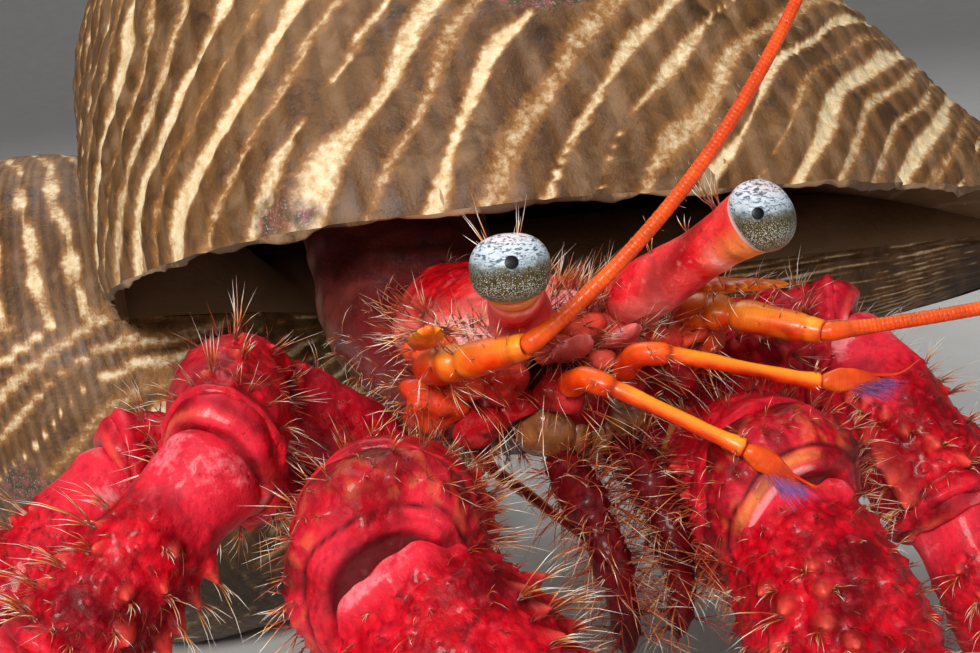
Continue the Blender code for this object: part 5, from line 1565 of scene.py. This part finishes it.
def lining(edge, shares):
    """The rounded edge of the lip and the smooth inside of the last whorl, back to where it narrows."""
    turns = np.linspace(0, -HOLLOW_TURN, HOLLOW_ROWS)
    inner_rows, wall_rows = [], []
    for turn in turns:
        growth = EXPANSION ** turn
        full = whorl_outline(growth)
        flow = unit(np.gradient(full, axis=0))
        thickness = WALL * (0.55 + 0.45 * min(-turn / 0.1, 1.0))
        wall = full + np.stack((-flow[:, 1], flow[:, 0]), axis=1) * thickness
        before = whorl_outline(growth / EXPANSION)
        inside = np.interp(wall[:, 1], before[:, 1], before[:, 0]) - 0.3
        wall[:, 0] = np.maximum(wall[:, 0], inside)
        wall_rows.append(place(wall, turn))
        inner_rows.append(place(resample(before[UPPER - 4:] + (0.12, 0.0), UPPER + LOWER), turn))
    wall, inner = np.array(wall_rows), np.array(inner_rows)
    for sheet in (wall, inner):
        sheet[..., 2] = np.maximum(sheet[..., 2], FLOOR + 0.7 * WALL)
    sway = 0.34 * waves(wall, 16.0, SHELL_SEED) + 0.1 * waves(wall, 5.0, SHELL_SEED + 1)
    rib = rib_profile(shares[None, :], sway)
    depth = np.broadcast_to(clamp(-turns / 0.35)[:, None], rib.shape)
    outward = unit(wall - inner.mean(axis=1, keepdims=True))
    ridged = wall + outward * (0.25 * rib * (1 - depth))[..., None]
    behind = -0.004                             # turns from the lip, to find which way it faces
    forward = unit(edge - place(whorl_outline(EXPANSION ** behind), behind))
    chip = 1 + 0.55 * waves(edge, 3.2, 331)[:, None] + 0.25 * waves(edge, 0.9, 332)[:, None]
    rim = np.array([edge * (1 - t) + ridged[0] * t + forward * (0.45 * sin(pi * t)) * chip
                    for t in np.arange(EDGE_ROWS) / (EDGE_ROWS - 1)])
    shape = Shape()
    shape.add(rim[::-1], [grid_faces(EDGE_ROWS, UPPER + LOWER, closed=False)],
              pale=clamp(0.15 + 0.4 * waves(rim, 2.5, 333))[::-1, ::-1],
              dark=clamp(0.50 + 0.6 * waves(rim, 4.5, 334))[::-1, ::-1])
    sheet = grid_faces(HOLLOW_ROWS, UPPER + LOWER, closed=False)
    shape.add(ridged, [sheet[:, ::-1]], along=depth, pale=rib * (1 - depth))
    shape.add(inner, [sheet], along=depth * 0.8 + 0.1)
    shape.make("shell_inside", SHELL_INSIDE, "shell_brown")


# ---- stage ------------------------------------------------------------------------------------
CAMERA_AZ, CAMERA_EL, CAMERA_ROLL = -25.0, 13.0, -6.0
CAMERA_DISTANCE, CAMERA_LENS = 94.0, 56.0
FRAME_RIGHT, FRAME_UP = -5.43, -0.96            # the frame's middle from the head point, mm
FLOOR_FLAT, FLOOR_BEND, WALL_TOP = 0.9, 0.45, 1.1           # of the pale floor, metres
FLOOR_SIDES = 96


def camera():
    """The photo's view: a little from the crab's right and above, rolled."""
    back = heading(CAMERA_AZ, CAMERA_EL)
    level = np.array((cos(radians(CAMERA_AZ)), sin(radians(CAMERA_AZ)), 0))
    upright = np.cross(back, level)
    roll = radians(CAMERA_ROLL)
    right = level * cos(roll) + upright * sin(roll)
    up = upright * cos(roll) - level * sin(roll)
    centre = HEAD + back * CAMERA_DISTANCE + right * FRAME_RIGHT + up * FRAME_UP
    data = bpy.data.cameras.new("camera")
    data.lens, data.sensor_width = CAMERA_LENS, 36.0
    data.clip_start, data.clip_end = 0.005, 20
    item = bpy.data.objects.new("camera", data)
    turn = Matrix(np.column_stack((right, up, back)).tolist()).to_4x4()
    item.matrix_world = Matrix.Translation(Vector(centre * MM)) @ turn
    bpy.context.scene.collection.objects.link(item)
    bpy.context.scene.camera = item


def softbox(name, az, el, distance, size, power, colour=(1, 1, 1)):
    data = bpy.data.lights.new(name, "AREA")
    data.shape, data.size, data.energy, data.color = "DISK", size, power, colour
    item = bpy.data.objects.new(name, data)
    aim = Vector(HEAD * MM)
    item.location = aim + Vector(heading(az, el)) * distance
    item.rotation_euler = (item.location - aim).to_track_quat("Z", "Y").to_euler()
    bpy.context.scene.collection.objects.link(item)


def stage():
    """A pale floor that curves up into a wall all round, four soft lights and a pale sky."""
    turns = pi * np.arange(13) / 24
    r = np.concatenate(([0.0], FLOOR_FLAT + FLOOR_BEND * np.sin(turns), [FLOOR_FLAT + FLOOR_BEND]))
    z = np.concatenate(([0.0], FLOOR_BEND * (1 - np.cos(turns)), [WALL_TOP]))
    angles = 2 * pi * np.arange(FLOOR_SIDES) / FLOOR_SIDES
    rings = np.stack((np.outer(r, np.cos(angles)), np.outer(r, np.sin(angles)),
                      np.outer(z, np.ones(FLOOR_SIDES))), axis=-1)
    mesh = bpy.data.meshes.new("floor")
    mesh.from_pydata(rings.reshape(-1, 3).tolist(), [], grid_faces(*rings.shape[:2])[:, ::-1].tolist())
    mesh.shade_smooth()
    p = Paint("pale_floor")
    p.colour = p.mix(p.span(p.noise(9.0, 3), 0.3, 0.7), (0.60, 0.59, 0.575), (0.64, 0.63, 0.615))
    mesh.materials.append(p.finish(0.7, [(p.noise(1.5, 3), 0.02)]))
    floor = bpy.data.objects.new("floor", mesh)
    bpy.context.scene.collection.objects.link(floor)
    softbox("key", -44, 34, 0.42, 0.15, 2.05, (1.0, 0.985, 0.96))
    softbox("fill", 34, 12, 0.50, 0.22, 0.24, (0.97, 0.98, 1.0))
    softbox("back", 165, 55, 0.60, 0.35, 1.1)
    softbox("ceiling", 0, 88, 1.30, 1.40, 2.8)
    bpy.context.scene.view_settings.view_transform = "Standard"
    world = bpy.data.worlds.new("sky")
    world.use_nodes = True
    world.node_tree.nodes["Background"].inputs["Color"].default_value = (0.9, 0.92, 0.95, 1)
    world.node_tree.nodes["Background"].inputs["Strength"].default_value = 0.085
    bpy.context.scene.world = world


# ---- the model --------------------------------------------------------------------------------
camera()
stage()
head()
for number, (leg_name, leg_plan) in enumerate(WALKING_LEGS.items()):
    walking_leg(leg_name, leg_plan, 1000 + 100 * number)
for number, side_name in enumerate(SIDES):
    claw(side_name, 2000 + 100 * number)
    rear_leg(side_name, 2500 + 100 * number)
shell()
